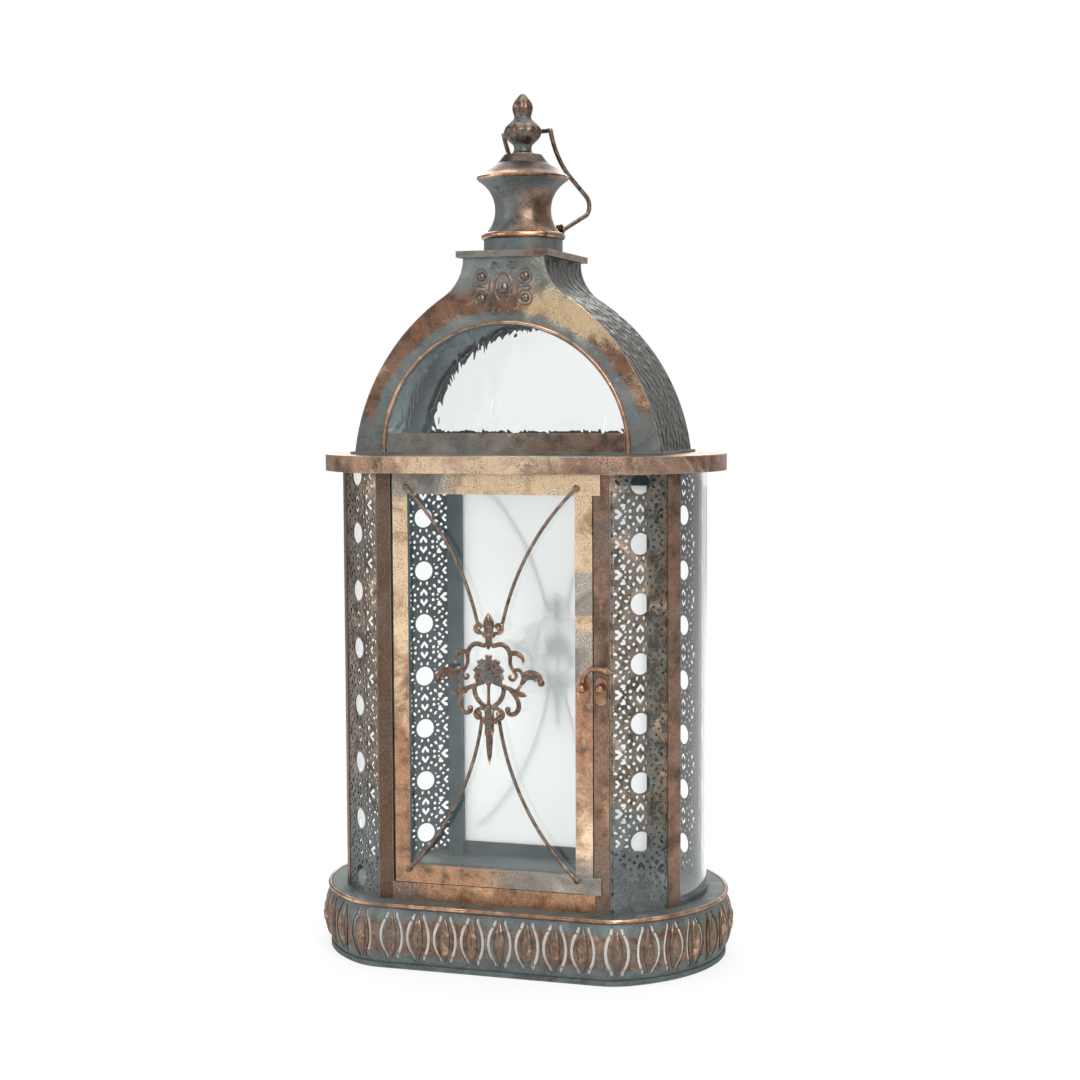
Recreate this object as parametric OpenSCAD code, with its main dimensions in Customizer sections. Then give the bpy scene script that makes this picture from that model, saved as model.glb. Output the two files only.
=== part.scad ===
// Candle lantern with an oblong, round-ended plan: pierced base band, glazed and pierced walls,
// a hinged glass door, an arched roof with two windows, a spun cap, a finial and a wire bail.
// Millimetres. X runs across the door, the door faces -Y, Z is up and z = 0 is the floor.

/* [Plan outline] */
// Half depth of the wall at the flat front and back
half_depth = 95.5; // [90:0.5:100]
// Radius of the wall at the two rounded ends
end_r = 108; // [104:0.5:112]
// Distance of each rounded end's centre from the middle
end_c = 55; // [50:0.5:60]
// Radius that blends the flat front into a rounded end
blend_r = 30; // [27:0.5:34]

/* [Base] */
// Height of the base, up to the ledge that the posts stand on
base_h = 56; // [50:0.5:64]
// Height of the foot rim
rim_h = 4.2; // [3:0.1:6]
// How far the foot rim stands out from the wall
rim_out = 16; // [15:0.25:18]
// How far the foot rim reaches in under the base, measured from its edge
rim_w = 9; // [8:0.25:12]
// How far the top and bottom edges of the pierced band stand out from the wall
band_edge_out = 14.6; // [14:0.1:15]
// How far the band bulges beyond its edges
band_bulge = 5.4; // [4:0.1:7]
// Thickness of the band's sheet
band_t = 1.6; // [1:0.1:2]
// Number of slot pairs along each straight side
band_front_n = 8; // [6:1:9]
// Number of slot pairs round each end
band_end_n = 12; // [9:1:13]
// Width of a slot
slot_w = 2.8; // [2:0.1:3.4]
// Distance across a slot pair at its middle, between slot centres
slot_pair_w = 19.4; // [16:0.1:20]
// Height of a slot
slot_h = 41; // [34:0.5:42]
// Radius of a slot's long middle bend
slot_r = 30; // [26:0.5:36]
// Gap between the band and the sheet behind its slots
liner_gap = 0.3; // [0.2:0.1:1]
// Thickness of the sheet behind the slots
liner_t = 1; // [0.8:0.1:1.5]
// Thickness of the ledge plate
ledge_t = 2.6; // [2:0.1:4]
// How far the ledge plate stands out from the wall
ledge_out = 14.2; // [13.5:0.1:15]
// Radius of the bead round the ledge
bead_r = 1.9; // [1.2:0.1:2.4]

/* [Walls] */
// Height of the posts, from the ledge to the soffit
post_h = 368.4; // [330:1:420]
// Width and depth of a main post
post_w = 13; // [11:0.25:15]
// Wall of a main post
post_t = 1.5; // [1:0.1:2.5]
// How far a post's inner face lies inside the end of the flat front
post_set = 7.35; // [7:0.05:8]
// Angle of the clear side glass, to each side of the X axis
glass_half_a = 26.3; // [22:0.1:29]
// Width of a side post, round the wall
side_post_w = 14.8; // [10:0.2:17]
// Depth of a side post
side_post_d = 5; // [4.5:0.1:7]
// How far a side post stands proud of the pierced panels
side_post_out = 1; // [0.4:0.1:2]
// Thickness of the pierced panels
panel_t = 1.2; // [0.8:0.1:1.6]
// Thickness of the glass panes
glass_t = 2; // [1.6:0.1:3]
// How far the outer face of the side glass lies inside the wall
side_glass_set = 1.2; // [1:0.1:2]
// Height of the track that the side glass stands in
track_h = 4.5; // [3:0.1:7]

/* [Pierced pattern] */
// Height of one repeat of the pattern
tile_h = 50; // [46:0.5:54]
// Radius of the round holes
hole_r = 9; // [7.5:0.1:10]
// Height of a round hole above the ledge, front right panel
phase_front_right = 10.3; // [0:0.1:50]
// Height of a round hole above the ledge, front left panel
phase_front_left = 15.5; // [0:0.1:50]
// Height of a round hole above the ledge, rear left panel
phase_rear_left = 18.7; // [0:0.1:50]
// Height of a round hole above the ledge, rear right panel
phase_rear_right = 24.8; // [0:0.1:50]

/* [Door and rear pane] */
// Height of the fixed sill under the door
sill_h = 15.7; // [12:0.1:22]
// Depth of the sill and of the rear rails
rail_d = 8; // [6:0.1:10]
// Height of the rear bottom rail
rear_sill_h = 11.3; // [8:0.1:16]
// Height of the rear top rail
rear_head_h = 17.6; // [12:0.1:24]
// Gap between the door and the posts
door_gap = 1; // [0.8:0.1:2]
// Gap under and over the door
door_gap_z = 0.8; // [0.5:0.1:1.5]
// Thickness of the door frame
door_t = 8; // [7:0.1:10]
// How far the door stands proud of the posts
door_proud = 0.5; // [0.4:0.1:1.5]
// Width of the door's stiles
stile_w = 15; // [12:0.1:20]
// Height of the door's top rail
door_head_h = 17; // [12:0.1:24]
// Height of the door's bottom rail
door_foot_h = 14.6; // [11:0.1:20]
// How far the door's corner ears lap over the latch post
ear_w = 7.2; // [4:0.1:9]
// How far a corner ear reaches back over its stile
ear_root = 8; // [6:0.1:9]
// Thickness of the corner ears
ear_t = 1.4; // [1:0.1:2]
// Clearance between a corner ear and the post
ear_gap = 0.4; // [0.3:0.05:0.8]
// Width of the ledge that the door's glass lies against
rebate_w = 5; // [3:0.1:7]
// Clearance round the glass in its rebate
glass_clear = 0.3; // [0.2:0.05:0.6]
// Radius of the door's pivot pins
pin_r = 1.8; // [1.2:0.05:2.2]
// Radial clearance of the pivot pins
pin_clear = 0.05; // [0.02:0.01:0.09]
// Distance of the pivot axis from the door's outer edge, and from its front
pivot_in = 4; // [3.5:0.1:5]
// How deep a pivot pin sits in the door
pin_depth = 12; // [8:0.5:20]
// Radius of the door's outer front corner at the pivots
stile_round = 3; // [2:0.1:3.5]

/* [Wire arcs and ornament] */
// Radius of the wire arcs, to the wire's centre
arc_r = 228; // [220:1:245]
// Distance of an arc's middle from the door's centre line
arc_mid = 5.5; // [4:0.1:12]
// Radius of the arcs' wire
arc_wire_r = 1.5; // [1:0.1:2]
// How far the arcs' ends lie inside the door's top and bottom edges
arc_end_in = 11.5; // [7:0.1:14]
// Radius of the flattened arc ends
arc_eye_r = 3; // [2.4:0.1:4]
// Scale of the cast ornament
ornament_scale = 1; // [0.8:0.05:1.1]
// Thickness of the cast ornament
ornament_t = 4; // [3:0.1:6]
// Height of the ornament's centre above the floor
ornament_z = 243.7; // [220:1:260]

/* [Latch] */
// Height of the latch's pivot above the floor
latch_z = 247.1; // [200:1:300]
// Radius of the pivot's ball and of the stud's ball
ball_r = 3.9; // [3:0.1:4.2]
// Radius of the latch's pivot pin and of the stud's neck
latch_pin_r = 1.5; // [1.2:0.05:1.8]
// Radius of the hook's eye
latch_eye_r = 3.6; // [3.2:0.1:4]
// Thickness of the hook's eye
latch_eye_t = 2.2; // [1.8:0.1:2.6]
// Thickness of the plates under the latch and the stud
latch_plate_t = 1.2; // [0.8:0.1:1.6]
// Radius of the hook's wire
hook_wire_r = 1.9; // [1.4:0.1:2.2]
// Radius of the hook's bend
hook_bend_r = 11.5; // [10:0.1:13]
// Radius of the hook's pointed end
hook_end_r = 4; // [3:0.1:5]
// Distance from the latch's pivot to the stud
stud_dist = 15; // [14:0.1:16]

/* [Eave] */
// Height of the eave plate's edge
eave_h = 14.3; // [10:0.1:20]
// How far the eave plate stands out from the wall
eave_out = 16; // [12:0.25:20]
// Thickness of the eave plate's sheet
eave_t = 1.6; // [1.2:0.1:2.4]
// Width of the eave sheet inside the roof's foot
eave_lap = 11; // [8:0.5:16]

/* [Roof] */
// Height of the roof, from the eave to the collar
roof_h = 168.3; // [160:0.5:180]
// Half width of the roof at its foot
roof_half_w = 137.5; // [134:0.5:142]
// Half depth of the roof
roof_half_d = 57; // [50:0.5:64]
// Half width of the roof's neck, under the collar
neck_half_w = 36; // [32:0.5:38]
// Radius of the roof's shoulders
shoulder_r = 186; // [182:0.5:192]
// How far the shoulders' centres lie below the roof's foot
shoulder_drop = 20.5; // [14:0.5:26]
// Thickness of the roof's sheet
roof_t = 1.5; // [1:0.1:2.2]
// Thickness of the flange at the roof's foot
flange_t = 2.4; // [1.6:0.1:3.5]
// How far the flange stands out from the roof
flange_out = 3; // [2:0.1:5]
// Radius of the window's arch
window_r = 112; // [104:0.5:114]
// Radius of the bead round the window
window_bead_r = 1.9; // [1.2:0.1:2.4]
// Height of the rail across the window's foot
window_rail_h = 16; // [10:0.5:22]
// How far the window's glass reaches behind the face
glass_lap = 4; // [2.5:0.25:6]
// Distance from the collar plate down to the oval boss
boss_drop = 26.4; // [24:0.1:30]
// Radius of the oval boss's round
boss_r = 7.5; // [6:0.1:9]
// Radius of the small bosses
small_boss_r = 4.4; // [3:0.1:5.5]

/* [Collar and cap] */
// Half width of the collar plate
collar_half_w = 41.5; // [40:0.5:46]
// How far the collar plate stands out in front of the roof
collar_out = 3; // [2:0.25:6]
// Thickness of the collar plate
collar_t = 5.5; // [4:0.1:8]
// Radius of the chimney's foot
chimney_foot_r = 34.5; // [33:0.25:35]
// Height of the chimney's ring above the collar
ring_h = 15.2; // [13:0.1:18]
// Radius of the ring
ring_r = 36.8; // [36:0.1:38]
// Radius of the ring's bead
ring_bead_r = 3; // [2.5:0.1:4]
// Height of the waist above the collar
waist_h = 38.5; // [37:0.25:41]
// Radius of the waist
waist_r = 24.5; // [22:0.25:26]
// Radius of the waist's hollow curve
waist_bend_r = 29.2; // [28.5:0.1:31]
// Height of the chimney
chimney_h = 63.5; // [62:0.25:65]
// Thickness of the chimney and cap sheet
cap_t = 1.6; // [1.2:0.1:2.4]
// Radius of the cap's brim
brim_r = 40.2; // [39:0.1:43]
// Thickness of the brim's edge
brim_t = 3.4; // [2.4:0.1:5]
// Height of the cap's cone
cone_h = 19; // [15:0.25:24]
// Radius of the cone's top
cone_top_r = 17; // [14:0.25:20]

/* [Finial] */
// Height of the finial's foot
finial_foot_h = 9.2; // [8:0.1:11]
// Radius of the finial's foot and necks
finial_neck_r = 8; // [7:0.1:9]
// Largest radius of the bulb
bulb_r = 17.4; // [16:0.1:18]
// Radius of the bulb's curve
bulb_bend_r = 12.5; // [12:0.1:14]
// Rise from the bulb's middle to the bud's
bud_rise = 19.7; // [18:0.1:21]
// Largest radius of the bud
bud_r = 9.6; // [8.5:0.1:11]
// Radius of the bud's curve
bud_bend_r = 12.9; // [12:0.1:14]
// Radius of the screw that holds the finial
screw_r = 2.5; // [2:0.1:3]

/* [Bail] */
// Radius of the bail's wire
wire_r = 2; // [1.5:0.1:2.4]
// Width of the bail between wire centres
bail_w = 51; // [44:0.5:56]
// How far the bail has slid sideways in its ears
bail_slide = -10.5; // [-11:0.25:-8]
// Turn of the bail's pivot in plan
bail_turn = -18.5; // [-25:0.5:-10]
// Height of the bail's pivot above the collar
bail_pivot_h = 23.3; // [22:0.1:25]
// Gap between the bail's wire and the chimney's ring
bail_ring_gap = 1.2; // [0.8:0.1:2]
// Rise of the bail's lower straight, in degrees
bail_rise = 23; // [20:0.5:27]
// Length of the lower straight
bail_low = 37.8; // [34:0.1:42]
// Radius of the lower bend
bail_low_r = 9.5; // [7:0.1:12]
// Turn of the lower bend, in degrees
bail_low_turn = 126; // [120:0.5:130]
// Length of the upper straight
bail_high = 29; // [24:0.1:34]
// Radius of the upper bend
bail_high_r = 70; // [60:1:80]
// Turn of the upper bend, in degrees
bail_high_turn = 41; // [36:0.5:44]
// Distance between the two ears, from centre to centre
ear_pitch = 22; // [18:0.5:24]
// Thickness of a bail ear
bail_ear_t = 3; // [2:0.1:4]
// Radius of a bail ear
bail_ear_r = 5; // [4.2:0.1:6]
// Radial clearance of the bail's wire in its ears
bail_clear = 0.1; // [0.05:0.01:0.3]

/* [Hidden] */
$fn = 64;

copper = "peru";
dark_copper = "saddlebrown";
patina = "cadetblue";
clear_glass = "lightcyan";

// Where the flat front ends and the blend begins, and the angle at which the end arc takes over
blend_dx = sqrt(pow(end_r - blend_r, 2) - pow(half_depth - blend_r, 2));
blend_x = end_c + blend_dx;
wedge_a = atan2(half_depth - blend_r, blend_dx);
blend_a = 90 - wedge_a;
seam = 0.05;
under_a = 1;
panel_edge = 2;

// Heights of the main seats
eave_z = base_h + post_h;
roof_z = eave_z + eave_h;
collar_z = roof_z + roof_h;
cap_z = collar_z + collar_t;
cone_z = cap_z + chimney_h;
finial_z = cone_z + brim_t + cone_h;
bulb_z = finial_z + finial_foot_h + sqrt(pow(bulb_bend_r, 2) - pow(finial_neck_r - bulb_r + bulb_bend_r, 2));
bud_z = bulb_z + bud_rise;
bud_tip_r = 1;
bud_tip_h = sqrt(pow(bud_bend_r, 2) - pow(bud_bend_r - bud_r + bud_tip_r, 2));
knuckle = 0.15;
band_top_z = base_h - ledge_t;

// Posts, panels and panes
post_in = blend_x - post_set;
post_out = post_in + post_w;
side_post_a = side_post_w / end_r * 180 / PI;
panel_a0 = glass_half_a + side_post_a;
panel_blend_a = asin((post_out - blend_x) / (blend_r - panel_t));
panel_arc = (wedge_a - panel_a0) / 180 * PI * end_r + (blend_a - panel_blend_a) / 180 * PI * blend_r;
column_a = panel_a0 + panel_arc / 2 / end_r * 180 / PI;

// Door
door_half_w = post_in - door_gap;
door_z0 = base_h + sill_h + door_gap_z;
door_z1 = eave_z - door_gap_z;
door_front = -half_depth - door_proud;
door_back = door_front + door_t;
pivot_x = -door_half_w + pivot_in;
pivot_y = door_front + pivot_in;
pin_hole_r = pin_r + pin_clear;
arc_z0 = door_z0 + arc_end_in;
arc_z1 = door_z1 - arc_end_in;
arc_half_h = (arc_z1 - arc_z0) / 2;
arc_a = asin(arc_half_h / arc_r);

// Latch
latch_x = door_half_w - stile_w / 2;
stud_x = latch_x + stud_dist;
latch_plate_y = door_front - latch_plate_t;
hook_y = door_front - ear_gap - hook_end_r;
ball_gap = 0.8;

// Roof profile: a shoulder arc and a hollow neck arc that meet on one tangent
roof_base_z = roof_z + flange_t;
shoulder_cx = roof_half_w - sqrt(pow(shoulder_r, 2) - pow(shoulder_drop, 2));
shoulder_z = roof_z - shoulder_drop;
neck_rise = roof_h + shoulder_drop;
neck_dx = neck_half_w - shoulder_cx;
neck_r = (pow(neck_dx, 2) + pow(neck_rise, 2) - pow(shoulder_r, 2)) / (2 * (shoulder_r - neck_dx));
neck_cx = neck_half_w + neck_r;
neck_a = atan2(neck_rise, neck_cx - shoulder_cx);
turn_z = shoulder_z + shoulder_r * sin(neck_a);

// Bail
bail_pivot_z = cap_z + bail_pivot_h;
bail_pivot_e = ring_r + bail_ring_gap + wire_r;

// ---- Shared shapes ----

// Filled plan outline, grown outwards by out
module plan(out) {
  square([2 * blend_x, 2 * (half_depth + out)], center = true);
  for (sx = [-1, 1], sy = [-1, 1])
    translate([sx * blend_x, sy * (half_depth - blend_r)]) circle(r = blend_r + out);
  for (side = [0, 1]) mirror([side, 0]) intersection() {
    translate([end_c, 0]) circle(r = end_r + out, $fn = 128);
    polygon([
      [end_c, 0],
      [end_c + 2 * end_r, -2 * end_r * tan(wedge_a)],
      [end_c + 2 * end_r, 2 * end_r * tan(wedge_a)]
    ]);
  }
}

// Carries a section, drawn as (distance out from the wall, height), round the whole plan, in six
// strips that meet at hairline joints
module round_plan() {
  joint_a = seam / 2 / blend_r * 180 / PI;
  for (half = [0, 180]) rotate(half) {
    translate([-blend_x + seam / 2, -half_depth, 0]) rotate([90, 0, 90])
      linear_extrude(height = 2 * blend_x - seam) mirror([1, 0]) children();
    for (side = [-1, 1])
      translate([blend_x, side * (half_depth - blend_r), 0])
        rotate((side < 0 ? -90 : wedge_a) + joint_a / 2) rotate_extrude(angle = blend_a - joint_a)
          translate([blend_r, 0]) children();
    translate([end_c, 0, 0]) rotate(-wedge_a) rotate_extrude(angle = 2 * wedge_a, $fn = 128)
      translate([end_r, 0]) children();
  }
}

// Part of a flat ring between two angles, each less than 180 degrees apart
module ring_arc(r, w, a0, a1) {
  reach = 4 * r;
  intersection() {
    difference() {
      circle(r = r + w / 2);
      circle(r = r - w / 2);
    }
    polygon([[0, 0], reach * [cos(a0), sin(a0)], reach * [cos((a0 + a1) / 2), sin((a0 + a1) / 2)],
      reach * [cos(a1), sin(a1)]]);
  }
}

// A wall piece round one end, between two angles from the X axis
module end_wall(r_in, r_out, a0, a1, z0, z1) {
  translate([end_c, 0, z0]) rotate(a0) rotate_extrude(angle = a1 - a0, $fn = 128)
    translate([r_in, 0]) square([r_out - r_in, z1 - z0]);
}

// Puts a piece made for the front right at any of the four corners
module corner(left, rear) {
  mirror([left, 0, 0]) mirror([0, rear, 0]) children();
}

// ---- Base ----

module foot_rim() color(patina) difference() {
  linear_extrude(height = rim_h) plan(rim_out);
  translate([0, 0, -1]) linear_extrude(height = rim_h + 2) plan(rim_out - rim_w);
}

// One wavy slot: a long bend with a short reverse bend at each end, its middle at -pair / 2
module slot() {
  long_h = slot_h * 0.73;
  long_a = asin(long_h / 2 / slot_r);
  end_rise = (slot_h - long_h) / 2;
  end_bend_r = end_rise / sin(long_a);
  translate([slot_r - slot_pair_w / 2, 0]) {
    ring_arc(slot_r, slot_w, 180 - long_a, 180 + long_a);
    for (up = [0, 1]) mirror([0, up])
      translate((slot_r + end_bend_r) * [-cos(long_a), sin(long_a)])
        ring_arc(end_bend_r, slot_w, -long_a, 0);
  }
}

module slot_pair() {
  for (side = [0, 1]) mirror([side, 0]) slot();
}

// A sheet bent to the band's bulge, between its top and bottom edges: how far its outer face is
// set in from the band's, and its thickness
module band_section(set_in, t) {
  h = band_top_z - rim_h;
  r = (h * h / 4 + band_bulge * band_bulge) / (2 * band_bulge);
  translate([band_edge_out + band_bulge - r, (band_top_z + rim_h) / 2]) intersection() {
    difference() {
      circle(r = r - set_in, $fn = 128);
      circle(r = r - set_in - t, $fn = 128);
    }
    translate([r / 2, -h / 2]) square([r, h]);
  }
}

// Cuts children's outline square through the band at a distance along the end's own outline
module at_end(along) {
  blend_len = blend_a / 180 * PI * blend_r;
  arc_len = 2 * wedge_a / 180 * PI * end_r;
  if (along < blend_len)
    translate([blend_x, -(half_depth - blend_r), 0]) rotate(-90 + along / blend_r * 180 / PI)
      translate([blend_r, 0, 0]) children();
  else if (along > blend_len + arc_len)
    translate([blend_x, half_depth - blend_r, 0])
      rotate(wedge_a + (along - blend_len - arc_len) / blend_r * 180 / PI)
        translate([blend_r, 0, 0]) children();
  else
    translate([end_c, 0, 0]) rotate(-wedge_a + (along - blend_len) / end_r * 180 / PI)
      translate([end_r, 0, 0]) children();
}

module base_band() color(copper) {
  slot_z = (band_top_z + rim_h) / 2;
  front_pitch = 2 * blend_x / band_front_n;
  end_len = 2 * blend_a / 180 * PI * blend_r + 2 * wedge_a / 180 * PI * end_r;
  end_pitch = end_len / band_end_n;
  cut = 2 * band_bulge + 4 * band_t + 4;
  cut_in = band_edge_out - 3 * band_t;
  difference() {
    round_plan() band_section(0, band_t);
    for (half = [0, 180]) rotate(half) {
      translate([0, -half_depth - cut_in, slot_z]) rotate([90, 0, 0]) linear_extrude(height = cut)
        for (i = [0:band_front_n - 1])
          translate([(i + 0.5) * front_pitch - blend_x, 0]) slot_pair();
      for (i = [0:band_end_n - 1]) at_end((i + 0.5) * end_pitch)
        translate([cut_in, 0, slot_z]) rotate([90, 0, 90]) linear_extrude(height = cut)
          slot_pair();
    }
  }
}

// An off-white sheet right behind the band, with the band's own bulge
module base_liner() color("whitesmoke") round_plan() band_section(band_t + liner_gap, liner_t);

module base_top() color(patina) translate([0, 0, band_top_z])
  linear_extrude(height = ledge_t) plan(ledge_out);

module ledge_bead() color(copper) round_plan()
  translate([ledge_out + bead_r + seam, base_h - ledge_t / 2]) circle(r = bead_r, $fn = 24);

// ---- Walls ----

module post() color(dark_copper) translate([post_in, -half_depth, base_h])
  linear_extrude(height = post_h) difference() {
    square(post_w);
    translate([post_t, post_t]) square(post_w - 2 * post_t);
  }
module post_front_left() corner(1, 0) post();
module post_front_right() corner(0, 0) post();
module post_rear_left() corner(1, 1) post();
module post_rear_right() corner(0, 1) post();

module side_post() color(dark_copper)
  end_wall(end_r + side_post_out - side_post_d, end_r + side_post_out, -panel_a0, -glass_half_a,
    base_h, eave_z);
module side_post_front_left() corner(1, 0) side_post();
module side_post_front_right() corner(0, 0) side_post();
module side_post_rear_left() corner(1, 1) side_post();
module side_post_rear_right() corner(0, 1) side_post();

// A pair of short arms that meet in a point, which lies at the origin and points down
module chevron(w, h, arm) {
  difference() {
    polygon([[0, 0], [w / 2, h * 0.6], [w / 2, h], [-w / 2, h], [-w / 2, h * 0.6]]);
    translate([0, h]) circle(r = w / 2 - arm, $fn = 24);
  }
}

// The openings of one repeat, centred on its round hole. A spot is a share of the panel's width, a
// share of the repeat and a share of the round hole's radius.
module tile() {
  spots = [[0.297, 0.372, 0.256], [0.193, 0.292, 0.144], [0.277, 0.212, 0.167], [0.321, 0.116, 0.156]];
  circle(r = hole_r, $fn = 48);
  for (up = [0, 1]) mirror([0, up]) {
    translate([0, tile_h * 0.328]) chevron(0.82 * hole_r, 0.78 * hole_r, 0.26 * hole_r);
    for (side = [0, 1], spot = spots) mirror([side, 0])
      translate([spot.x * panel_arc, spot.y * tile_h]) circle(r = spot.z * hole_r, $fn = 16);
  }
  for (side = [0, 1]) mirror([side, 0]) translate([0.321 * panel_arc, 0]) rotate(-90)
    chevron(0.8 * hole_r, 0.78 * hole_r, 0.26 * hole_r);
}

// Openings between two repeats, at the panel's edges
module tile_gap() {
  for (side = [0, 1]) mirror([side, 0]) translate([0.274 * panel_arc, 0]) rotate(-90)
    chevron(0.93 * hole_r, 0.89 * hole_r, 0.3 * hole_r);
}

// The sheet is a hairline smaller all round on its small bend, which runs on a little inside the large one
module panel(phase) color("slategray") difference() {
  union() {
    end_wall(end_r - panel_t, end_r, -wedge_a, -panel_a0, base_h, eave_z);
    translate([blend_x, -(half_depth - blend_r), base_h]) rotate(panel_blend_a - 90)
      rotate_extrude(angle = blend_a - panel_blend_a + under_a)
        translate([blend_r - panel_t + seam, seam]) square([panel_t - 2 * seam, post_h - 2 * seam]);
  }
  translate([end_c, 0, base_h]) rotate(-column_a) translate([end_r - 4 * panel_t, 0, 0])
    rotate([90, 0, 90]) linear_extrude(height = 6 * panel_t) intersection() {
      translate([-panel_arc, panel_edge]) square([2 * panel_arc, post_h - 2 * panel_edge]);
      for (i = [0:ceil(post_h / tile_h)]) translate([0, (phase % tile_h) + i * tile_h]) {
        tile();
        translate([0, -tile_h / 2]) tile_gap();
      }
    }
}
module panel_front_left() corner(1, 0) panel(phase_front_left);
module panel_front_right() corner(0, 0) panel(phase_front_right);
module panel_rear_left() corner(1, 1) panel(phase_rear_left);
module panel_rear_right() corner(0, 1) panel(phase_rear_right);

module side_glass() color(clear_glass)
  end_wall(end_r - side_glass_set - glass_t, end_r - side_glass_set, -glass_half_a, glass_half_a,
    base_h, eave_z);
module side_glass_left() corner(1, 0) side_glass();
module side_glass_right() corner(0, 0) side_glass();

module glass_track() color(dark_copper)
  end_wall(end_r - side_glass_set + seam, end_r, -glass_half_a, glass_half_a, base_h, base_h + track_h);
module glass_track_left() corner(1, 0) glass_track();
module glass_track_right() corner(0, 0) glass_track();

// A flat rail between two posts, its outer face flush with them
module rail(z0, h) translate([-post_in, -half_depth, z0]) cube([2 * post_in, rail_d, h]);

module front_sill() color(copper) difference() {
  rail(base_h, sill_h);
  translate([pivot_x, pivot_y, base_h + sill_h - pin_depth / 2])
    cylinder(r = pin_hole_r, h = pin_depth, $fn = 32);
}
module rear_bottom_rail() color(copper) corner(0, 1) rail(base_h, rear_sill_h);
module rear_top_rail() color(copper) corner(0, 1) rail(eave_z - rear_head_h, rear_head_h);

// The rear pane fills the space between the rear rails
module rear_glass() color(clear_glass)
  translate([-post_in, half_depth - rail_d / 2 - glass_t / 2, base_h + rear_sill_h])
    cube([2 * post_in, glass_t, post_h - rear_sill_h - rear_head_h]);

// Two wire arcs that bend towards each other, against a face at y = 0
module wire_arcs() {
  for (side = [0, 1]) mirror([side, 0, 0]) {
    translate([-arc_mid - arc_r, -arc_wire_r, (arc_z0 + arc_z1) / 2]) rotate([90, 0, 0])
      rotate(-arc_a) rotate_extrude(angle = 2 * arc_a, $fn = 128)
        translate([arc_r, 0]) circle(r = arc_wire_r, $fn = 16);
    for (z = [arc_z0, arc_z1])
      translate([-arc_mid - arc_r + arc_r * cos(arc_a), -0.25 * arc_wire_r, z]) rotate([90, 0, 0])
        cylinder(r = arc_eye_r, h = 1.5 * arc_wire_r, $fn = 24);
  }
}

module door_arcs() color(dark_copper) translate([0, door_front, 0]) wire_arcs();
module rear_arcs() color(dark_copper) corner(0, 1) translate([0, -half_depth, 0]) wire_arcs();

// A scroll: a small flat ring
module scroll(x, z, r, w) {
  translate([x, z]) difference() {
    circle(r = r, $fn = 32);
    circle(r = r - w, $fn = 24);
  }
}

// An open scroll: part of a ring, with a ball at its end
module curl(x, z, r, w, a0, a1, ball) translate([x, z]) {
  ring_arc(r - w / 2, w, a0, a1);
  if (ball > 0) translate((r - w / 2) * [cos(a1), sin(a1)]) circle(r = ball, $fn = 20);
}

// A straight bar between two points
module bar(p, q, w) translate(p) rotate(atan2(q.y - p.y, q.x - p.x))
  translate([0, -w / 2]) square([norm(q - p), w]);

// Half outline of the cast ornament, centred on its own middle
module ornament_half() {
  polygon([[-0.5, -35], [4.2, -35], [5, -18], [3, -14], [6, 2], [12.6, 4], [13, 11], [11.4, 16], [8, 22],
    [3.6, 29], [5.5, 38], [3.6, 44], [5.4, 54.5], [3, 60], [0.5, 64], [-0.5, 64]]);
  scroll(8.4, 51, 4.4, 2.3);
  curl(11.8, 30.6, 8.2, 3.2, 170, 10, 0);
  bar([18.6, 32], [19, 14], 3);
  scroll(19.6, 11.6, 4.4, 2.4);
  curl(24.8, 22.4, 8, 3.6, 150, 0, 2.4);
  bar([19, 16.6], [29, 14.6], 3);
  curl(38.6, 5.6, 9.6, 3.8, 150, 5, 3.6);
  bar([31.4, 12], [27, -1], 3);
  bar([5, 4.4], [17, 0.6], 2.8);
  bar([16, 1.2], [31, -4.2], 4);
  curl(19.8, -14.4, 8.4, 3, 75, -150, 3);
  scroll(0, -5, 12.8, 3.6);
  scroll(8.3, -22, 4.6, 2.6);
}

module ornament() scale(ornament_scale) {
  tip_z = 65.4;
  band_z = 39.8;
  y = -ornament_t / 2;
  rotate([90, 0, 0]) linear_extrude(height = ornament_t)
    for (side = [0, 1]) mirror([side, 0]) ornament_half();
  translate([0, y, tip_z - 13]) cylinder(r1 = 4.6, r2 = 1, h = 13, $fn = 32);
  translate([0, y, -band_z]) cylinder(r = 4.4, h = 5, $fn = 32);
  translate([0, y, -tip_z]) cylinder(r1 = 0.8, r2 = 3.4, h = tip_z - band_z + seam, $fn = 32);
}

module ornament_seat() translate([0, -2 * arc_wire_r - seam, ornament_z]) ornament();
module door_ornament() color(copper) translate([0, door_front, 0]) ornament_seat();
module rear_ornament() color(copper) corner(0, 1) translate([0, -half_depth, 0]) ornament_seat();

// ---- Door ----

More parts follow.
